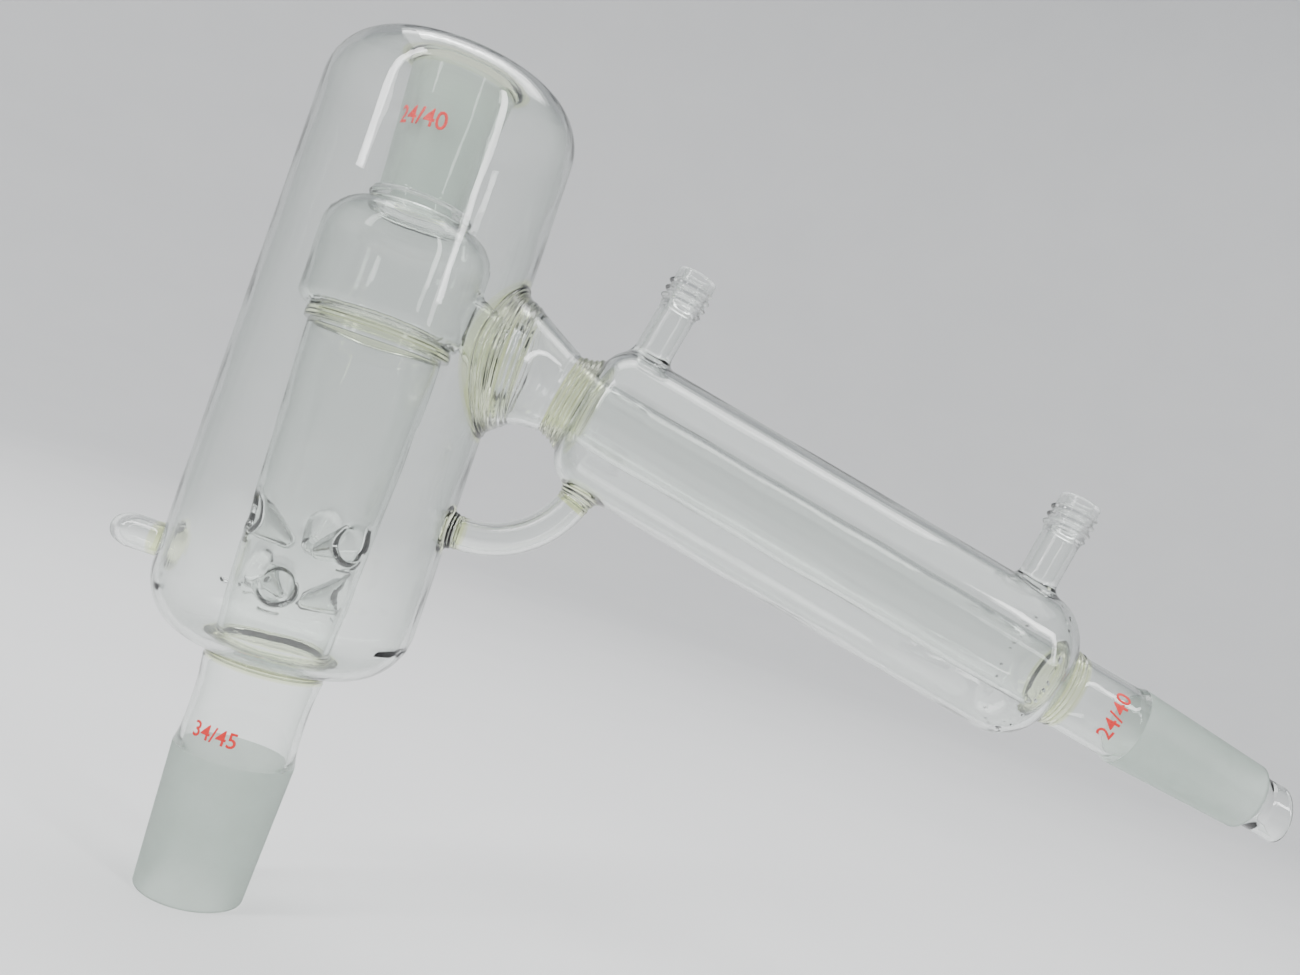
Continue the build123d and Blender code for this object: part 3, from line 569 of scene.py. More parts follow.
chamberSkin = chamberShell(0.0, 61.6, chamber["armFoot"], 18)
chamberRoom = chamberShell(chamber["wall"], 65.0, chamber["armRoomFoot"], 16)
armHub = Axis((0, 0, 178.6), (1, 0, 0), (0, 0, 1))
armEdge = chamberSkin.window(chamber["armFoot"], chamber["armTop"], 0, 15)
armRoomEdge = chamberRoom.window(chamber["armRoomFoot"], chamber["armTop"], 0, 15)
chamberSkin.build()
chamberRoom.build()
seam("socket_bead", "vapour_chamber", beadBore[-1], beadBack[-1])

column = {"top": (164.5, 20.0), "foot": (73.0, 16.5), "wall": 1.7, "plainEnd": 117.0}


def columnOuter(s):
    (top, wide), (foot, narrow) = column["top"], column["foot"]
    return narrow + (np.asarray(s, float) - foot) / (top - foot) * (wide - narrow)


def columnInner(s):
    return columnOuter(s) - column["wall"]


ringBack = lathe(columnAxis, arc3((168, 20), (166.25, 21.7), column["top"], 30))
ringBore = lathe(columnAxis, joined(
    arc3((169.8, 20), (169.35, 18.8), (168.2, 18.3), 10), line((168.2, 18.3), (164.5, 18.3), 14)))
wrinkled("chamber_seam_ring", ringBack, (0.25, 0.75), 0.35, 0.08)
wrinkled("chamber_seam_ring", ringBore, (0.35, 0.75), 0.25, 0.07)
seam("vapour_chamber", "chamber_seam_ring", chamberSkin.ring(0), chamberRoom.ring(0))
columnRows = steps(column["top"][0], column["plainEnd"], 1.5)
columnBack = lathe(columnAxis, [(s, columnOuter(s)) for s in columnRows])
columnBore = lathe(columnAxis, [(s, columnInner(s)) for s in columnRows])
skin("column_tube", columnBack)
skin("column_tube", columnBore)
seam("chamber_seam_ring", "column_tube", columnBack[0], columnBore[0])
seam("column_tube", "vigreux_section", columnBack[-1], columnBore[-1])

print("stage: indented section")
dents = {
    "rowHeights": (108.0, 92.0), "perRow": 3, "dip": 22.0,           # dip is the lean of a point, degrees
    "mouth": 5.37, "point": 1.3, "reach": 13.2, "glass": 1.45, "half": 8.0,
}
dentEdges = [h + side * dents["half"] for h in dents["rowHeights"][::-1] for side in (-1, 1)]
dentRows = rows(np.linspace(column["foot"][0], dentEdges[0], 12), np.linspace(*dentEdges[:2], 21),
                np.linspace(*dentEdges[2:], 21), (dentEdges[3], column["plainEnd"]))
dentSkin = Shell("vigreux_section", columnAxis, columnOuter, dentRows)
dentRoom = Shell("vigreux_section", columnAxis, columnInner, dentRows)
for row, height in enumerate(dents["rowHeights"]):
    for place in range(dents["perRow"]):
        turn = math.radians((place + row / 2) * 120 + 90)
        dip = math.radians(dents["dip"])
        out = np.array([math.cos(turn), math.sin(turn), 0])
        inwards = -out * math.cos(dip) - np.array([0, 0, math.sin(dip)])
        start = out * float(columnOuter(height)) + np.array([0, 0, height])
        push = Axis(start, inwards, (0, 0, 1))
        taper = (dents["mouth"] - dents["point"]) / dents["reach"]
        for shell, extra, reach, first in ((dentSkin, 0, 7.2, 2.6), (dentRoom, dents["glass"], 7.1, 4.3)):
            edge = shell.window(height - dents["half"], height + dents["half"], turn % full, 18)
            foot, inward = branch(shell, edge, push, reach, 3)
            even = np.arange(len(edge)) * full / len(edge)
            depths = steps(first, dents["reach"], 1.0)
            radii = dents["mouth"] + extra * 0.95 - depths * taper
            walls = [push.at(d, r, even) for d, r in zip(depths, radii)]
            slant = push.at(first + 1, radii[0] - taper, even) - walls[0]
            rings = fillet(foot, inward, walls[0], slant, 7, (0.45, 0.4))
            end = radii[-1]
            cap = [push.at(depths[-1] + end * math.sin(a), end * math.cos(a), even)
                   for a in np.radians(np.linspace(0, 90, 7)[1:-1])]
            skin("vigreux_section", stop(rings + walls[1:] + cap, push, depths[-1] + end, 0, even))
dentSkin.build()
dentRoom.build()

print("stage: foot")
baseBore = lathe(columnAxis, line((73, 14.8), (66, 15.3), 26))
baseRoom = lathe(columnAxis, arc3((73, 16.5), (72.2, 17.5), (71.7, 19.5), 18))
baseSkin = lathe(columnAxis, arc3((69.5, 19.5), (68.6, 17.8), (66, 17.2), 26))
for s in (baseBore, baseRoom, baseSkin):
    wrinkled("base_ring_seal", s, (0.3, 0.65), 0.25, 0.08)
seam("vigreux_section", "base_ring_seal", dentSkin.ring(0), dentRoom.ring(0))
neckOut = curve([(66, 17.2), (59, 16.4), (52, 16.3), (45, 16.55), (41, 17.25)], 6)
neckIn = curve([(66, 15.3), (59, 14.5), (52, 14.4), (46, 14.6), (41, 14.95)], 6)
neckSkin, neckBore = lathe(columnAxis, neckOut), lathe(columnAxis, neckIn)
skin("lower_neck", neckSkin)
skin("lower_neck", neckBore)
seam("base_ring_seal", "lower_neck", neckSkin[0], neckBore[0])
seam("lower_neck", "lower_cone", neckSkin[-1], neckBore[-1])
skin("lower_cone", lathe(columnAxis, line((41, 17.25), (0.7, 15.235), 36)), "ground")
foot = joined(arc3((0.7, 15.235), (0.2, 15.0), (0, 14.5), 4), line((0, 14.5), (0, 13.8), 1),
              arc3((0, 13.8), (0.2, 13.3), (0.7, 13.13), 4), line((0.7, 13.13), (41, 14.95), 30))
skin("lower_cone", lathe(columnAxis, foot))

print("stage: side arm")
arm = {
    "places": ((28, 0, 176.2), (31.5, 0, 174.2), (35, 0, 172.2)),
    "ways": ((1, 0, -0.35), (1, 0, -0.3), (1, 0, 0)),
    "radii": (8.2, 9.6, 13.2), "wall": 1.6,
}
armBack = tube(list(zip(arm["places"], arm["ways"], arm["radii"])), 0.8)
armBore = tube([(p, w, r - arm["wall"]) for p, w, r in zip(arm["places"], arm["ways"], arm["radii"])], 0.8)
armSides = ((chamberSkin, armEdge, 9.4, armBack), (chamberRoom, armRoomEdge, 8.1, armBore))
for shell, edge, reach, rings in armSides:
    foot, inward = branch(shell, edge, armHub, reach, 3)
    skin("vapour_side_arm", fillet(foot, inward, rings[0], arm["ways"][0], 8, (0.25, 0.45)) + rings[1:])
    if shell is chamberSkin:
        armFoot = foot
    else:
        seam("vapour_chamber", "vapour_side_arm", armFoot, foot)
seam("vapour_side_arm", "side_arm_collar", armBack[-1], armBore[-1])

collar = {"height": 170.5, "end": 39.5, "radius": 20.0, "bore": 16.4, "reach": 24.6, "roomReach": 21.5}
collarHub = Axis((0, 0, collar["height"]), (1, 0, 0), (0, 0, 1))
collarFoot, inward = branch(jacketSkin, collarEdge, collarHub, collar["reach"], 4)
collarEnd = collarHub.at(collar["end"], collar["radius"], evenTurn)
collarOut = fillet(collarFoot, inward, collarEnd, (1, 0, 0), 40, (0.55, 0.35))
wrinkled("side_arm_collar", collarOut, (0.3, 0.5, 0.68, 0.85), 0.42, 0.045)
roomFoot, inward = branch(jacketRoom, trumpetEdge, collarHub, collar["roomReach"], 4)
flare = armBack[-2] - armBack[-1]
wrinkled("side_arm_collar", fillet(roomFoot, inward, armBack[-1], flare, 34, (0.5, 0.3)),
         (0.3, 0.55, 0.8), 0.3, 0.05)
seam("vacuum_jacket", "side_arm_collar", collarFoot, roomFoot)
collarMouth = (collar["end"], 0, collar["height"])
straightOut = (1, 0, 0)
collarBore = tube([
    (arm["places"][-1], straightOut, arm["radii"][-1] - arm["wall"]),
    ((38, 0, collar["height"]), straightOut, collar["bore"]),
    (collarMouth, straightOut, collar["bore"])], 0.25)
wrinkled("side_arm_collar", collarBore, (0.3, 0.6, 0.85), 0.25, 0.06)
seam("side_arm_collar", "side_arm_sleeve", collarEnd, collarBore[-1])
sleeve = {
    "end": 57.0,
    "radii": (collar["radius"], 18.0, 15.2, 12.4), "bores": (collar["bore"], 15.7, 13.2, 10.6),
}
sleevePlaces = (collarMouth, (42.5, 0, 170.6), (47.5, 0, 169.5), tuple(crossPoint + alongDir * sleeve["end"]))
sleeveWays = (straightOut, (1, 0, -0.03), (1, 0, -0.12), tuple(alongDir))
sleeveOut, sleeveBore = (
    tube(list(zip(sleevePlaces, sleeveWays, sleeve[side])), 0.35) for side in ("radii", "bores"))
wrinkled("side_arm_sleeve", sleeveOut, (0.08, 0.17, 0.93), 0.3, 0.028)
wrinkled("side_arm_sleeve", sleeveBore, (0.1, 0.2), 0.2, 0.03)
seam("side_arm_sleeve", "condenser_top_seal", sleeveOut[-1], sleeveBore[-1])

print("stage: condenser")
cooler = {
    "radius": 22.2, "wall": 1.9, "straight": (73.0, 208.5), "roundTop": 9.5, "roundEnd": 13.0,
    "topSpan": (64.6, 83.4), "endSpan": (193.9, 212.7),            # where the connectors stand
    "topRoomSpan": (66.6, 81.4), "endRoomSpan": (195.9, 210.7),
    "tube": 10.0, "tubeBore": 8.5, "tubeStart": 66.0, "tubeEnd": 217.5, "neckStart": 227.0,
}
coolerTop, coolerFoot = cooler["straight"]
inTop, inEnd = cooler["roundTop"] - cooler["wall"], cooler["roundEnd"] - cooler["wall"]
coolerOuter = rounded(cooler["radius"], coolerTop, coolerFoot, cooler["roundTop"], cooler["roundEnd"])
coolerInner = rounded(cooler["radius"] - cooler["wall"], coolerTop, coolerFoot, inTop, inEnd)
stopCos = math.cos(math.radians(15))                    # the rounded ends stop 15 degrees short of flat
outerStart, outerEnd = coolerTop - cooler["roundTop"] * stopCos, coolerFoot + cooler["roundEnd"] * stopCos
innerStart, innerEnd = coolerTop - inTop * stopCos, coolerFoot + inEnd * stopCos
cell = (cooler["topSpan"][1] - cooler["topSpan"][0]) / 24
spanStart = cooler["topSpan"][0]
braceHigh = spanStart + cell * 27
coolerSkin = Shell("condenser_jacket", condenserAxis, coolerOuter, rows(
    (outerStart, 64.2, spanStart), np.linspace(spanStart, braceHigh, 28),
    steps(braceHigh, cooler["endSpan"][0], 1.5), np.linspace(*cooler["endSpan"], 25),
    roundRows(coolerFoot, cooler["roundEnd"], 18.85, 75, 12)))
coolerRoom = Shell("condenser_jacket", condenserAxis, coolerInner, rows(
    (innerStart, 66.0, cooler["topRoomSpan"][0]), np.linspace(*cooler["topRoomSpan"], 25),
    steps(cooler["topRoomSpan"][1], cooler["endRoomSpan"][0], 1.5), np.linspace(*cooler["endRoomSpan"], 25),
    roundRows(coolerFoot, inEnd, 11.43, 75, 10)))
hoseEdges = [coolerSkin.window(*cooler[k], 0, 13) for k in ("topSpan", "endSpan")]
hoseRoomEdges = [coolerRoom.window(*cooler[k], 0, 13) for k in ("topRoomSpan", "endRoomSpan")]
braceLowEdge = coolerSkin.window(spanStart + cell * 4, braceHigh, math.pi, 13)
coolerSkin.build()
coolerRoom.build()


def outerAt(s):
    return s, float(coolerOuter(s))


def innerAt(s):
    return s, float(coolerInner(s))


sleeveRim, sleeveRimBore = ((sleeve["end"], sleeve[side][-1]) for side in ("radii", "bores"))
tubeTop, tubeTopBore = ((cooler["tubeStart"], cooler[side]) for side in ("tube", "tubeBore"))
tubeFoot, tubeFootBore = ((cooler["tubeEnd"], cooler[side]) for side in ("tube", "tubeBore"))
topOut = lathe(condenserAxis, curve([sleeveRim, (60.6, 13.1), outerAt(outerStart)], 20))
topBore = lathe(condenserAxis, curve([sleeveRimBore, (61.5, 9.2), tubeTopBore], 16))
topRoom = lathe(condenserAxis, curve([innerAt(innerStart), (64.6, 12.4), tubeTop], 14))
for s, high in ((topOut, 0.42), (topBore, 0.25), (topRoom, 0.25)):
    wrinkled("condenser_top_seal", s, (0.2, 0.42, 0.64, 0.84), high, 0.055)
seam("condenser_top_seal", "condenser_jacket", coolerSkin.ring(0), coolerRoom.ring(0))
tubeRows = steps(cooler["tubeStart"], cooler["tubeEnd"], 1.8)
tubeBack = lathe(condenserAxis, [(s, cooler["tube"]) for s in tubeRows])
tubeBore = lathe(condenserAxis, [(s, cooler["tubeBore"]) for s in tubeRows])
skin("condenser_inner_tube", tubeBack)
skin("condenser_inner_tube", tubeBore)
seam("condenser_top_seal", "condenser_inner_tube", tubeBack[0], tubeBore[0])
seam("condenser_inner_tube", "condenser_bottom_seal", tubeBack[-1], tubeBore[-1])
receiver = {"neckStart": cooler["neckStart"], "neck": 11.3, "bore": 9.5, "coneStart": 246.0, "coneEnd": 286.0,
            "wide": 12.0, "narrow": 10.0, "coneBore": 9.8, "tipBore": 8.1}
neckTop, neckTopBore = ((receiver["neckStart"], receiver[side]) for side in ("neck", "bore"))
coneTop, coneTopBore = ((receiver["coneStart"], receiver[side]) for side in ("wide", "coneBore"))
coneFoot, coneFootBore = ((receiver["coneEnd"], receiver[side]) for side in ("narrow", "tipBore"))
endRoom = lathe(condenserAxis, curve([tubeFoot, (218.9, 10.4), innerAt(innerEnd)], 12))
endOut = lathe(condenserAxis, curve([outerAt(outerEnd), (223.6, 11.65), neckTop], 18))
endBore = lathe(condenserAxis, curve([tubeFootBore, (222, 9.3), neckTopBore], 16))
for s, high in ((endRoom, 0.2), (endOut, 0.32), (endBore, 0.22)):
    wrinkled("condenser_bottom_seal", s, (0.25, 0.5, 0.76), high, 0.06)
seam("condenser_jacket", "condenser_bottom_seal", coolerSkin.ring(-1), coolerRoom.ring(-1))
seam("condenser_bottom_seal", "receiver_neck", endOut[-1], endBore[-1])
neckOut = lathe(condenserAxis, joined(
    line(neckTop, (243.0, receiver["neck"]), 12),
    curve([(243.0, receiver["neck"]), (244.6, 11.55), coneTop], 4)))
neckBore = lathe(condenserAxis, joined(
    line(neckTopBore, (243.5, receiver["bore"]), 12), line((243.5, receiver["bore"]), coneTopBore, 2)))
skin("receiver_neck", neckOut)
skin("receiver_neck", neckBore)
seam("receiver_neck", "receiver_cone", neckOut[-1], neckBore[-1])
coneOut = lathe(condenserAxis, line(coneTop, coneFoot, 40))
coneBore = lathe(condenserAxis, line(coneTopBore, coneFootBore, 30))
skin("receiver_cone", coneOut, "ground")
skin("receiver_cone", coneBore)
drip = {
    "start": receiver["coneEnd"], "radius": 8.0, "bore": 6.6, "first": 9.6,
    "middle": 296.95, "slant": 1.95, "lip": 0.5, "straightFrom": 290.0, "boreFrom": 291.0,
}


# A short tube whose end is cut at a slant and fire-polished
def dripRings():
    place = condenserAxis.at
    rings = list(lathe(condenserAxis, curve(
        [(drip["start"], drip["first"]), (287.6, 8.4), (drip["straightFrom"], drip["radius"])], 5)))
    slant = drip["middle"] - drip["slant"] * np.cos(evenTurn)
    shoulder = slant - drip["lip"]
    middle, half = (drip["radius"] + drip["bore"]) / 2, (drip["radius"] - drip["bore"]) / 2
    outFrom, inFrom = drip["straightFrom"], drip["boreFrom"]
    for t in np.linspace(0, 1, 8)[1:]:
        rings.append(place(outFrom + (shoulder - outFrom) * t, drip["radius"], evenTurn))
    for a in np.radians(np.linspace(0, 180, 9)[1:]):
        rings.append(place(shoulder + drip["lip"] * np.sin(a), middle + half * np.cos(a), evenTurn))
    for t in np.linspace(1, 0, 8)[1:]:
        rings.append(place(inFrom + (shoulder - inFrom) * t, drip["bore"], evenTurn))
    back = line((inFrom, drip["bore"]), coneFootBore, 4)
    return rings + [place(s, r, evenTurn) for s, r in back[1:]]


dripFirst = condenserAxis.at(drip["start"], drip["first"], evenTurn)
coneEdge = condenserAxis.at(drip["start"] + 0.02, 9.8, evenTurn)
skin("receiver_cone", [coneOut[-1], coneEdge, dripFirst], "ground")
seam("receiver_cone", "drip_tip", dripFirst, coneBore[-1])
skin("drip_tip", dripRings())

print("stage: hose connectors")
hose = {
    "stations": (("outlet", 74.0), ("inlet", 203.3)), "bore": 4.0, "neck": 5.75, "collarTop": 27.0,
    "threadStart": 37.5, "rim": 50.0, "core": 6.05, "threadRows": 66,
}
threadRule = {
    "Length": 11.7, "Neck": hose["neck"], "Core": hose["core"], "Rib": 0.95, "Pitch": 2.5,
    "Rib start": 1.5, "Rib end": 9.1, "Run-out": 0.9, "Crest power": 1.6,
}


# A helical rib on a tube: a flat grid is rolled up, and the rule below sets its radius
def threadTree():
    g = bpy.data.node_groups.new("hoseThread", "GeometryNodeTree")
    for label, value in threadRule.items():
        socket(g, label, "NodeSocketFloat", value)
    socket(g, "Columns", "NodeSocketInt", 101)
    socket(g, "Rows", "NodeSocketInt", hose["threadRows"])
    socket(g, "Geometry", "NodeSocketGeometry", inward=False)
    nodes, links = g.nodes, g.links
    given = nodes.new("NodeGroupInput").outputs
    grid = nodes.new("GeometryNodeMeshGrid")
    links.new(given["Columns"], grid.inputs["Vertices X"])
    links.new(given["Rows"], grid.inputs["Vertices Y"])
    place = nodes.new("ShaderNodeSeparateXYZ")
    links.new(nodes.new("GeometryNodeInputPosition").outputs[0], place.inputs[0])

    def do(kind, a, b=0.0, clamp=False):
        return maths(g, kind, a, b, clamp)

    across = do("ADD", place.outputs[0], 0.5)
    high = do("MULTIPLY", do("ADD", place.outputs[1], 0.5), given["Length"])
    turn = do("MULTIPLY", across, full)
    flare = do("MINIMUM", do("DIVIDE", high, given["Run-out"]), 1.0)
    core = do("ADD", given["Neck"], do("MULTIPLY", do("SUBTRACT", given["Core"], given["Neck"]), flare))
    fromStart = do("SUBTRACT", high, given["Rib start"])
    phase = do("SUBTRACT", do("DIVIDE", fromStart, given["Pitch"]), across)
    wave = do("MULTIPLY", do("ADD", do("COSINE", do("MULTIPLY", phase, full)), 1.0), 0.5)
    crest = do("POWER", wave, given["Crest power"])
    begins = do("ADD", do("DIVIDE", fromStart, given["Run-out"]), 0.5, True)
    ends = do("ADD", do("DIVIDE", do("SUBTRACT", given["Rib end"], high), given["Run-out"]), 0.5, True)
    stand = do("MULTIPLY", do("MULTIPLY", given["Rib"], crest), do("MULTIPLY", begins, ends))
    radius = do("ADD", core, stand)
    there = nodes.new("ShaderNodeCombineXYZ")
    sideways = do("MULTIPLY", radius, do("COSINE", turn)), do("MULTIPLY", radius, do("SINE", turn))
    for i, v in enumerate((*sideways, high)):
        links.new(v, there.inputs[i])
    rolled = nodes.new("GeometryNodeSetPosition")
    links.new(grid.outputs["Mesh"], rolled.inputs["Geometry"])
    links.new(there.outputs[0], rolled.inputs["Position"])
    real = nodes.new("GeometryNodeRealizeInstances")
    links.new(rolled.outputs[0], real.inputs[0])
    dressed = nodes.new("GeometryNodeSetMaterial")
    dressed.inputs["Material"].default_value = clearSlope
    links.new(real.outputs[0], dressed.inputs["Geometry"])
    links.new(dressed.outputs[0], nodes.new("NodeGroupOutput").inputs[0])
    return g


hoseTree = threadTree()


# The thread's surface as rings about the connector's axis
def threadRings(hub, columns):
    rowCount = hose["threadRows"]
    holder = bpy.data.objects.new("thread_plan", bpy.data.meshes.new("thread_plan"))
    bpy.context.scene.collection.objects.link(holder)
    modifier = holder.modifiers.new("thread", "NODES")
    modifier.node_group = hoseTree
    sizes = {**threadRule, "Columns": columns + 1, "Rows": rowCount}
    for item in hoseTree.interface.items_tree:
        if item.in_out == "INPUT":
            modifier[item.identifier] = sizes[item.name]
    bpy.context.view_layer.update()
    plain = bpy.data.meshes.new_from_object(holder.evaluated_get(bpy.context.evaluated_depsgraph_get()))
    holder.modifiers.remove(modifier)
    bpy.data.objects.remove(holder)
    flatCo = np.zeros(len(plain.vertices) * 3)
    plain.vertices.foreach_get("co", flatCo)
    bpy.data.meshes.remove(plain)
    grid = flatCo.reshape(columns + 1, rowCount, 3)[:-1].transpose(1, 0, 2)
    base = hub.o + hub.d * hose["threadStart"]
    return list(base + grid[..., :1] * hub.e1 + grid[..., 1:2] * hub.e2 + grid[..., 2:] * hub.d)


for (name, s), edge, roomEdge in zip(hose["stations"], hoseEdges, hoseRoomEdges):
    hub = Axis(crossPoint + alongDir * s, acrossDir, alongDir)
    even = np.arange(len(edge)) * full / len(edge)
    foot, inward = branch(coolerSkin, edge, hub, 8.5, 3)
    first = hub.at(hose["collarTop"], hose["neck"], even)
    skin(name + "_collar", fillet(foot, inward, first, hub.d, 10, (0.55, 0.4)))
    roomFoot, inward = branch(coolerRoom, roomEdge, hub, 5.6, 3)
    boreFirst, boreNext, boreTop = (hub.at(h, hose["bore"], even) for h in (24.0, 25.5, hose["collarTop"]))
    wall = fillet(roomFoot, inward, boreFirst, hub.d, 6)
    skin(name + "_collar", wall + [boreNext, boreTop])
    seam("condenser_jacket", name + "_collar", foot, roomFoot)
    seam(name + "_collar", name + "_neck", first, boreTop)
    heights = steps(hose["collarTop"], hose["threadStart"], 1.0)
    skin(name + "_neck", [hub.at(h, hose["neck"], even) for h in heights])
    skin(name + "_neck", [hub.at(h, hose["bore"], even) for h in heights])
    threadFoot = hub.at(hose["threadStart"], hose["neck"], even)
    seam(name + "_neck", name + "_thread", threadFoot, hub.at(hose["threadStart"], hose["bore"], even))
    body = threadRings(hub, len(edge))
    body[0] = threadFoot
    rim = hose["rim"]
    lip = joined(arc3((rim - 0.5, 6.0), (rim - 0.15, 5.8), (rim, 5.3), 4), [(rim, 4.9)],
                 arc3((rim, 4.7), (rim - 0.15, 4.2), (rim - 0.6, hose["bore"]), 4),
                 [(h, hose["bore"]) for h in steps(rim - 1.0, hose["threadStart"], 1.2)])
    skin(name + "_thread", body + [hub.at(h, r, even) for h, r in lip])


# The round patch of wall under a brace end, which the wall and the end share
def discOn(shell, foot, s0, phi0, other):
    s, r, phi = shell.axis.local(foot)
    phi = (phi - phi0 + math.pi) % full - math.pi
    rings = [foot] + [shell.surface(s0 + (s - s0) * t, phi0 + phi * t) for t in (0.75, 0.5, 0.25, 0.0)]
    disc(shell.piece, other, rings)


# A bore that stops in a rounded end; ring is where it is open
def closedEnd(axis, shoulder, end, r, ring):
    count = len(ring)
    even = np.arange(count) * full / count
    turns = np.radians(np.linspace(0, 90, 8))
    rings = [axis.at(end, 0.0 * even, even)]
    rings += [axis.at(shoulder + (end - shoulder) * math.cos(a), r * math.sin(a), even) for a in turns[1:]]
    return rings + [ring]


print("stage: brace")
brace = {"radius": 4.9, "bore": 3.4, "height": 119.7, "start": 42.0, "bend": 28.8, "turn": 66.0, "reach": 7.6}
bz = brace["height"]
hub = Axis((0, 0, bz), (1, 0, 0), (0, 0, 1))
count = len(braceEdge)
even = np.arange(count) * full / count
foot, inward = branch(jacketSkin, braceEdge, hub, brace["reach"], 3)
firstOut, firstIn = (hub.at(brace["start"], brace[side], even) for side in ("radius", "bore"))
wrinkled("brace_head_seal", fillet(foot, inward, firstOut, hub.d, 26, (0.6, 0.3)), (0.45, 0.72), 0.28)
skin("brace_head_seal", closedEnd(hub, brace["start"] - 1.6, brace["start"] - 3.0, brace["bore"], firstIn))
seam("brace_head_seal", "brace_tube", firstOut, firstIn)
discOn(jacketSkin, foot, bz, 0, "brace_head_seal")
centre = np.array([brace["start"], 0, bz + brace["bend"]])
outWall, inWall = [], []
for a in np.radians(steps(0, brace["turn"], 2.2)):
    p = centre + brace["bend"] * np.array([math.sin(a), 0, -math.cos(a)])
    bend = Axis(p, (math.cos(a), 0, math.sin(a)), (-math.sin(a), 0, math.cos(a)))
    outWall.append(bend.at(0, brace["radius"], even))
    inWall.append(bend.at(0, brace["bore"], even))
skin("brace_tube", outWall)
skin("brace_tube", inWall)
lowHub = Axis(bend.o, -bend.d, bend.e1)
foot, inward = branch(coolerSkin, braceLowEdge, lowHub, brace["reach"], 3)
lastOut, lastIn = (lowHub.at(0, brace[side], even) for side in ("radius", "bore"))
wrinkled("brace_condenser_seal", fillet(foot, inward, lastOut, lowHub.d, 26, (0.6, 0.3)), (0.45, 0.72), 0.28)
skin("brace_condenser_seal", closedEnd(lowHub, -1.6, -3.2, brace["bore"], lastIn))
seam("brace_condenser_seal", "brace_tube", lastOut, lastIn)
discOn(coolerSkin, foot, 76.64, math.pi, "brace_condenser_seal")

print("stage: seal-off tip")
tip = {"radius": 5.0, "bore": 3.6, "height": 91.3, "start": 42.0, "end": 54.5, "round": 6.5,
       "roomEnd": 52.0, "roomRound": 5.0}
hub = Axis((0, 0, tip["height"]), (-1, 0, 0), (0, 0, 1))
even = np.arange(len(tipEdge)) * full / len(tipEdge)
foot, inward = branch(jacketSkin, tipEdge, hub, 8.2, 3)
first, firstIn = (hub.at(tip["start"], tip[side], even) for side in ("radius", "bore"))
skin("vacuum_tip_seal", fillet(foot, inward, first, hub.d, 9, (0.6, 0.35)))
roomFoot, inward = branch(jacketRoom, tipRoomEdge, hub, 5.4, 3)
skin("vacuum_tip_seal", fillet(roomFoot, inward, hub.at(38.4, tip["bore"], even), hub.d, 6) + [
    hub.at(40.2, tip["bore"], even), firstIn])
seam("vacuum_jacket", "vacuum_tip_seal", foot, roomFoot)
seam("vacuum_tip_seal", "vacuum_tip", first, firstIn)
straight = steps(tip["start"], tip["end"] - tip["round"], 1.0)


# A straight wall that ends in a rounded point
def nipple(heights, r, end, roundLength, count):
    walls = [hub.at(h, r, even) for h in heights]
    for a in np.radians(np.linspace(0, 90, count)[1:-1]):
        walls.append(hub.at(end - roundLength * (1 - math.sin(a)), r * math.cos(a) ** 0.9, even))
    return stop(walls, hub, end, 0, even)


skin("vacuum_tip", nipple(straight, tip["radius"], tip["end"], tip["round"], 12))
skin("vacuum_tip", nipple(
    [*straight[:-1], tip["roomEnd"] - tip["roomRound"]], tip["bore"], tip["roomEnd"], tip["roomRound"], 10))

print("stage: meshes")
weld = 0.0017            # points nearer than this become one
quads, owners, kinds, cloud, lifts, base = [], [], [], [], [], 0
names = sorted({p[0] for p in patches})
kindNames = ("glass", "seam", "ground")
for piece, data, kind, lift in patches:
    grid, keep = data if isinstance(data, tuple) else (data, None)
    m, k = grid.shape[:2]
    index = base + np.arange(m * k).reshape(m, k)
    after = np.roll(index, -1, 1)
    q = np.stack([index[:-1], after[:-1], after[1:], index[1:]], -1)
    q = q[keep] if keep is not None else q.reshape(-1, 4)
    quads.append(q)
    owners.append(np.full(len(q), names.index(piece)))
    kinds.append(np.full(len(q), kindNames.index(kind)))
    cloud.append(grid.reshape(-1, 3))
    lifts.append(np.repeat(np.zeros(m) if lift is None else lift, k))
    base += m * k
quads, owners, kinds, cloud, lifts = map(np.concatenate, (quads, owners, kinds, cloud, lifts))
cellShift = 0.317        # keeps round sizes off the edges of the weld cells
keys = np.floor(cloud / weld + cellShift).astype(np.int64)
_, firstSeen, inverse = np.unique(keys, axis=0, return_index=True, return_inverse=True)
points, lifts = cloud[firstSeen], lifts[firstSeen]
quads = inverse.reshape(-1)[quads]


# A quad without its doubled corners, or None
def cleaned(q):
    out = [v for i, v in enumerate(q) if v != q[i - 1]]
    return out if len(set(out)) == len(out) and len(out) > 2 else None


built = {}
for number, name in enumerate(names):
    chosen = owners == number
    mine, mineKinds = quads[chosen], kinds[chosen]
    used, local = np.unique(mine, return_inverse=True)
    local = local.reshape(-1, 4)
    polygons = [(cleaned(f), int(kd)) for f, kd in zip(local.tolist(), mineKinds)]
    polygons = [p for p in polygons if p[0]]
    mesh = bpy.data.meshes.new("glass_" + name)
    mesh.from_pydata(points[used].tolist(), [], [p[0] for p in polygons])
    mesh.polygons.foreach_set("material_index", [p[1] for p in polygons])
    bm = bmesh.new()
    bm.from_mesh(mesh)
    bmesh.ops.recalc_face_normals(bm, faces=bm.faces)
    openEdges = sum(1 for e in bm.edges if len(e.link_faces) != 2)
    if openEdges:
        print("open edges:", name, openEdges)
    bm.to_mesh(mesh)
    bm.free()
    built[name] = (mesh, used)


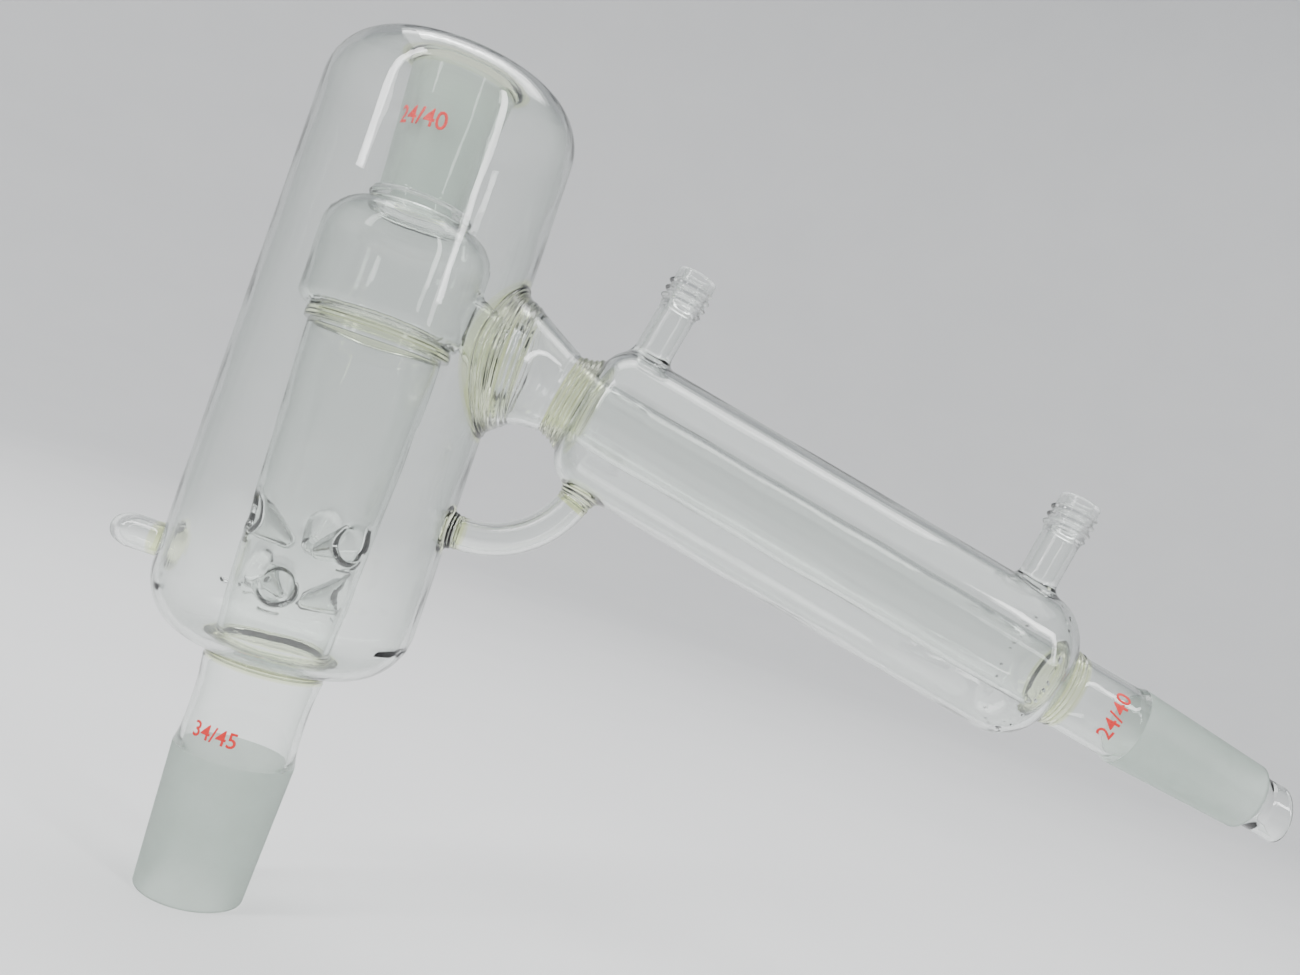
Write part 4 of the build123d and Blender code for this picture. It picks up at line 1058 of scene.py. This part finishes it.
def cornerData(mesh, used):
    corner = np.zeros(len(mesh.loops), np.int64)
    mesh.loops.foreach_get("vertex_index", corner)
    start = np.zeros(len(mesh.polygons), np.int64)
    mesh.polygons.foreach_get("loop_start", start)
    count = np.zeros(len(mesh.polygons), np.int64)
    mesh.polygons.foreach_get("loop_total", count)
    kind = np.zeros(len(mesh.polygons), np.int64)
    mesh.polygons.foreach_get("material_index", kind)
    return corner, start, count, kind, used[corner]


# One normal for each point of the whole glass body, so that shading runs on from piece to piece
def smoothNormals():
    total = np.zeros_like(points)
    for mesh, used in built.values():
        corner, start, count, kind, index = cornerData(mesh, used)
        owner = np.repeat(np.arange(len(count)), count)
        place = np.arange(len(corner)) - start[owner]
        nxt = start[owner] + (place + 1) % count[owner]
        prv = start[owner] + (place - 1) % count[owner]
        a, b = points[index[nxt]] - points[index], points[index[prv]] - points[index]
        n = np.cross(a, b)
        la, lb, ln = (np.linalg.norm(v, axis=1) for v in (a, b, n))
        angle = np.arctan2(ln, np.einsum("ij,ij->i", a, b))
        n = n / np.maximum(ln, 1e-12)[:, None] * angle[:, None]
        surface = kind[owner] != kindNames.index("seam")
        np.add.at(total, index[surface], n[surface])
    return total / np.maximum(np.linalg.norm(total, axis=1), 1e-12)[:, None]


# Hand-worked glass is never quite true; how far each point sinks, in mm
def waviness(p):
    x, y, z = p.T
    wave = (np.sin(x * 0.11 + 1.3) * np.sin(y * 0.13 + 0.4) + np.sin(z * 0.17 + y * 0.07)
            + 0.6 * np.sin(x * 0.29 + z * 0.23 + 2.1) + 0.5 * np.sin(y * 0.37 - z * 0.31 + x * 0.05))
    return 0.02 * (wave + 3.1)


normals = smoothNormals()
sink = waviness(points)
exact = np.zeros(len(points), bool)
for name in ("top_socket", "lower_cone", "receiver_cone", "outlet_thread", "inlet_thread"):
    exact[built[name][1]] = True
sink[exact] = 0
sink -= lifts
points = points - normals * sink[:, None]
normals = smoothNormals()

slotOf = {row["node"]: row["material_slot"] for row in frame["record"]["subparts"]}
slopedPieces = ("condenser", "receiver", "drip", "outlet", "inlet", "brace_condenser")

print("stage: pieces")
for name, (mesh, used) in built.items():
    isSloped = name.startswith(slopedPieces)
    plain = sealGlass if slotOf[name] == "seal_glass" else (clearSlope if isSloped else clearUp)
    for material in (plain, fusedFace, groundSlope if isSloped else groundUp):
        mesh.materials.append(material)
    mesh.vertices.foreach_set("co", (points[used] * mm).astype(np.float32).ravel())
    mesh.polygons.foreach_set("use_smooth", np.ones(len(mesh.polygons), bool))
    mesh.update()
    corner, start, count, kind, index = cornerData(mesh, used)
    flat = np.zeros(len(mesh.polygons) * 3)
    mesh.polygons.foreach_get("normal", flat)
    owner = np.repeat(np.arange(len(count)), count)
    cornerNormals = normals[index]
    inSeam = kind[owner] == kindNames.index("seam")
    cornerNormals[inSeam] = flat.reshape(-1, 3)[owner[inSeam]]
    mesh.normals_split_custom_set(cornerNormals.tolist())
    piece = bpy.data.objects.new("glass_" + name, mesh)
    bpy.context.scene.collection.objects.link(piece)
    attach(piece, "root")
    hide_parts(name)

print("stage: marks")


def enamel():
    m = bpy.data.materials.new("red_enamel")
    m.use_nodes = True
    nodes, links = m.node_tree.nodes, m.node_tree.links
    shader = nodes["Principled BSDF"]
    coord = nodes.new("ShaderNodeTexCoord")
    noise = nodes.new("ShaderNodeTexNoise")
    noise.inputs["Scale"].default_value = 900
    noise.inputs["Detail"].default_value = 4
    links.new(coord.outputs["Object"], noise.inputs["Vector"])
    ramp = nodes.new("ShaderNodeValToRGB")
    ramp.color_ramp.elements[0].color = (0.55, 0.004, 0.004, 1)
    ramp.color_ramp.elements[1].color = (0.8, 0.012, 0.01, 1)
    links.new(noise.outputs["Fac"], ramp.inputs["Fac"])
    links.new(ramp.outputs["Color"], shader.inputs["Base Color"])
    shader.inputs["Roughness"].default_value = 0.45
    return m


redEnamel = enamel()


# Numerals laid on a surface of revolution; s and phi give their middle
def mark(name, text, axis, s, phi, radiusAt, height, sign=1):
    font = bpy.data.curves.new(name, "FONT")
    font.body = text
    font.size = height / 0.72
    font.align_x = "CENTER"
    font.align_y = "CENTER"
    font.resolution_u = 3
    font.offset = 0.016 * height
    holder = bpy.data.objects.new(name + "_font", font)
    bpy.context.scene.collection.objects.link(holder)
    bpy.context.view_layer.update()
    flatMesh = bpy.data.meshes.new_from_object(holder.evaluated_get(bpy.context.evaluated_depsgraph_get()))
    bpy.data.objects.remove(holder)
    bm = bmesh.new()
    bm.from_mesh(flatMesh)
    bmesh.ops.triangulate(bm, faces=bm.faces)
    for _ in range(2):
        long = [e for e in bm.edges if e.calc_length() > 0.8]
        bmesh.ops.subdivide_edges(bm, edges=long, cuts=1)
        bmesh.ops.triangulate(bm, faces=bm.faces)
    side = bmesh.ops.extrude_face_region(bm, geom=bm.faces[:])
    for v in [g for g in side["geom"] if isinstance(g, bmesh.types.BMVert)]:
        v.co.z = 0.05
    bmesh.ops.recalc_face_normals(bm, faces=bm.faces)
    for v in bm.verts:
        there = s + sign * v.co.y
        r = float(radiusAt(there))
        p = axis.at(there, r + 0.01 + v.co.z, phi + sign * v.co.x / r)
        v.co = Vector(p * mm)
    bmesh.ops.recalc_face_normals(bm, faces=bm.faces)
    bm.to_mesh(flatMesh)
    bm.free()
    flatMesh.materials.clear()
    flatMesh.materials.append(redEnamel)
    piece = bpy.data.objects.new(name, flatMesh)
    bpy.context.scene.collection.objects.link(piece)
    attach(piece, "root")


marks = {
    "socket_mark": ("24/40", columnAxis, 227.5, math.radians(-111), lambda s: 15.5 - (247 - s) / 16, 5.2, 1),
    "neck_mark": ("34/45", columnAxis, 47.5, math.radians(-100), lambda s: 16.5, 4.4, 1),
    "receiver_mark": ("24/40", condenserAxis, 238.0, math.radians(90), lambda s: 11.3, 4.6, -1),
}
for name, (text, axis, s, phi, radiusAt, height, sign) in marks.items():
    mark(name, text, axis, s, phi, radiusAt, height, sign)

print("stage: studio")


def floorMaterial():
    m = bpy.data.materials.new("studio_sweep")
    m.use_nodes = True
    nodes, links = m.node_tree.nodes, m.node_tree.links
    shader = nodes["Principled BSDF"]
    coord = nodes.new("ShaderNodeTexCoord")
    noise = nodes.new("ShaderNodeTexNoise")
    noise.inputs["Scale"].default_value = 6
    noise.inputs["Detail"].default_value = 5
    links.new(coord.outputs["Object"], noise.inputs["Vector"])
    ramp = nodes.new("ShaderNodeValToRGB")
    ramp.color_ramp.elements[0].color = (0.76, 0.765, 0.77, 1)
    ramp.color_ramp.elements[1].color = (0.82, 0.82, 0.82, 1)
    links.new(noise.outputs["Fac"], ramp.inputs["Fac"])
    links.new(ramp.outputs["Color"], shader.inputs["Base Color"])
    shader.inputs["Roughness"].default_value = 0.8
    return m


studio = {
    "middle": (0.12, 0.0), "flat": 1.7, "rise": 1.5, "top": 2.4, "sides": 96,
    "key": 13.0, "fill": 8.0, "rim": 5.0, "sky": 60.0, "world": 0.55,
}


# A round pale floor that turns up into a wall all round, far from the object
def sweep():
    cx, cy = studio["middle"]
    profile = [(0.0, 0.0), (0.3, 0.0), (studio["flat"], 0.0)]
    for a in np.radians(np.linspace(0, 90, 12)[1:]):
        profile.append((studio["flat"] + studio["rise"] * math.sin(a), studio["rise"] * (1 - math.cos(a))))
    profile.append((studio["flat"] + studio["rise"], studio["top"]))
    ring = np.arange(studio["sides"]) * full / studio["sides"]
    verts, faces = [(cx, cy, 0.0)], []
    for r, z in profile[1:]:
        verts += [(cx + r * math.cos(a), cy + r * math.sin(a), z) for a in ring]
    n = studio["sides"]
    faces += [(0, 1 + j, 1 + (j + 1) % n) for j in range(n)]
    for i in range(len(profile) - 2):
        a, b = 1 + i * n, 1 + (i + 1) * n
        faces += [(a + j, b + j, b + (j + 1) % n, a + (j + 1) % n) for j in range(n)]
    mesh = bpy.data.meshes.new("studio_sweep")
    mesh.from_pydata(verts, [], faces)
    mesh.polygons.foreach_set("use_smooth", [True] * len(mesh.polygons))
    mesh.materials.append(floorMaterial())
    floor = bpy.data.objects.new("studio_sweep", mesh)
    bpy.context.scene.collection.objects.link(floor)


sweep()


def softLight(name, at, aim, size, power):
    data = bpy.data.lights.new(name, "AREA")
    data.shape = "RECTANGLE"
    data.size, data.size_y = size
    data.energy = power
    lamp = bpy.data.objects.new(name, data)
    lamp.location = at
    lamp.rotation_mode = "QUATERNION"
    lamp.rotation_quaternion = (Vector(aim) - Vector(at)).to_track_quat("-Z", "Y")
    bpy.context.scene.collection.objects.link(lamp)
    return lamp


target = (0.1, 0, 0.14)
softLight("key_left", (-0.75, -0.75, 0.95), target, (0.14, 1.1), studio["key"])
softLight("fill_right", (0.95, -0.7, 0.75), target, (0.12, 0.9), studio["fill"])
softLight("rim_top", (0.1, 0.35, 1.25), target, (1.2, 0.3), studio["rim"])
softLight("sky_panel", (0.1, 0.0, 2.6), target, (3.2, 3.2), studio["sky"])

world = bpy.data.worlds.new("studio_air")
world.use_nodes = True
world.node_tree.nodes["Background"].inputs["Color"].default_value = (0.93, 0.96, 1.0, 1)
world.node_tree.nodes["Background"].inputs["Strength"].default_value = studio["world"]
bpy.context.scene.world = world

viewer = {
    "lens": 32.35, "sensor": 36.0, "at": (0.08664, -0.33745, 0.13421),
    "right": (0.94971, -0.01963, 0.31251), "up": (-0.3131, -0.0407, 0.9489),
    "forward": (0.00591, 0.99898, 0.04479),
}
camData = bpy.data.cameras.new("camera")
camData.sensor_width = viewer["sensor"]
camData.lens = viewer["lens"]
camData.clip_start = 0.01
camera = bpy.data.objects.new("camera", camData)
right, up, forward = (Vector(viewer[k]).normalized() for k in ("right", "up", "forward"))
view = Matrix((right, up, -forward)).transposed().to_4x4()
view.translation = viewer["at"]
camera.matrix_world = view
bpy.context.scene.collection.objects.link(camera)
bpy.context.scene.camera = camera
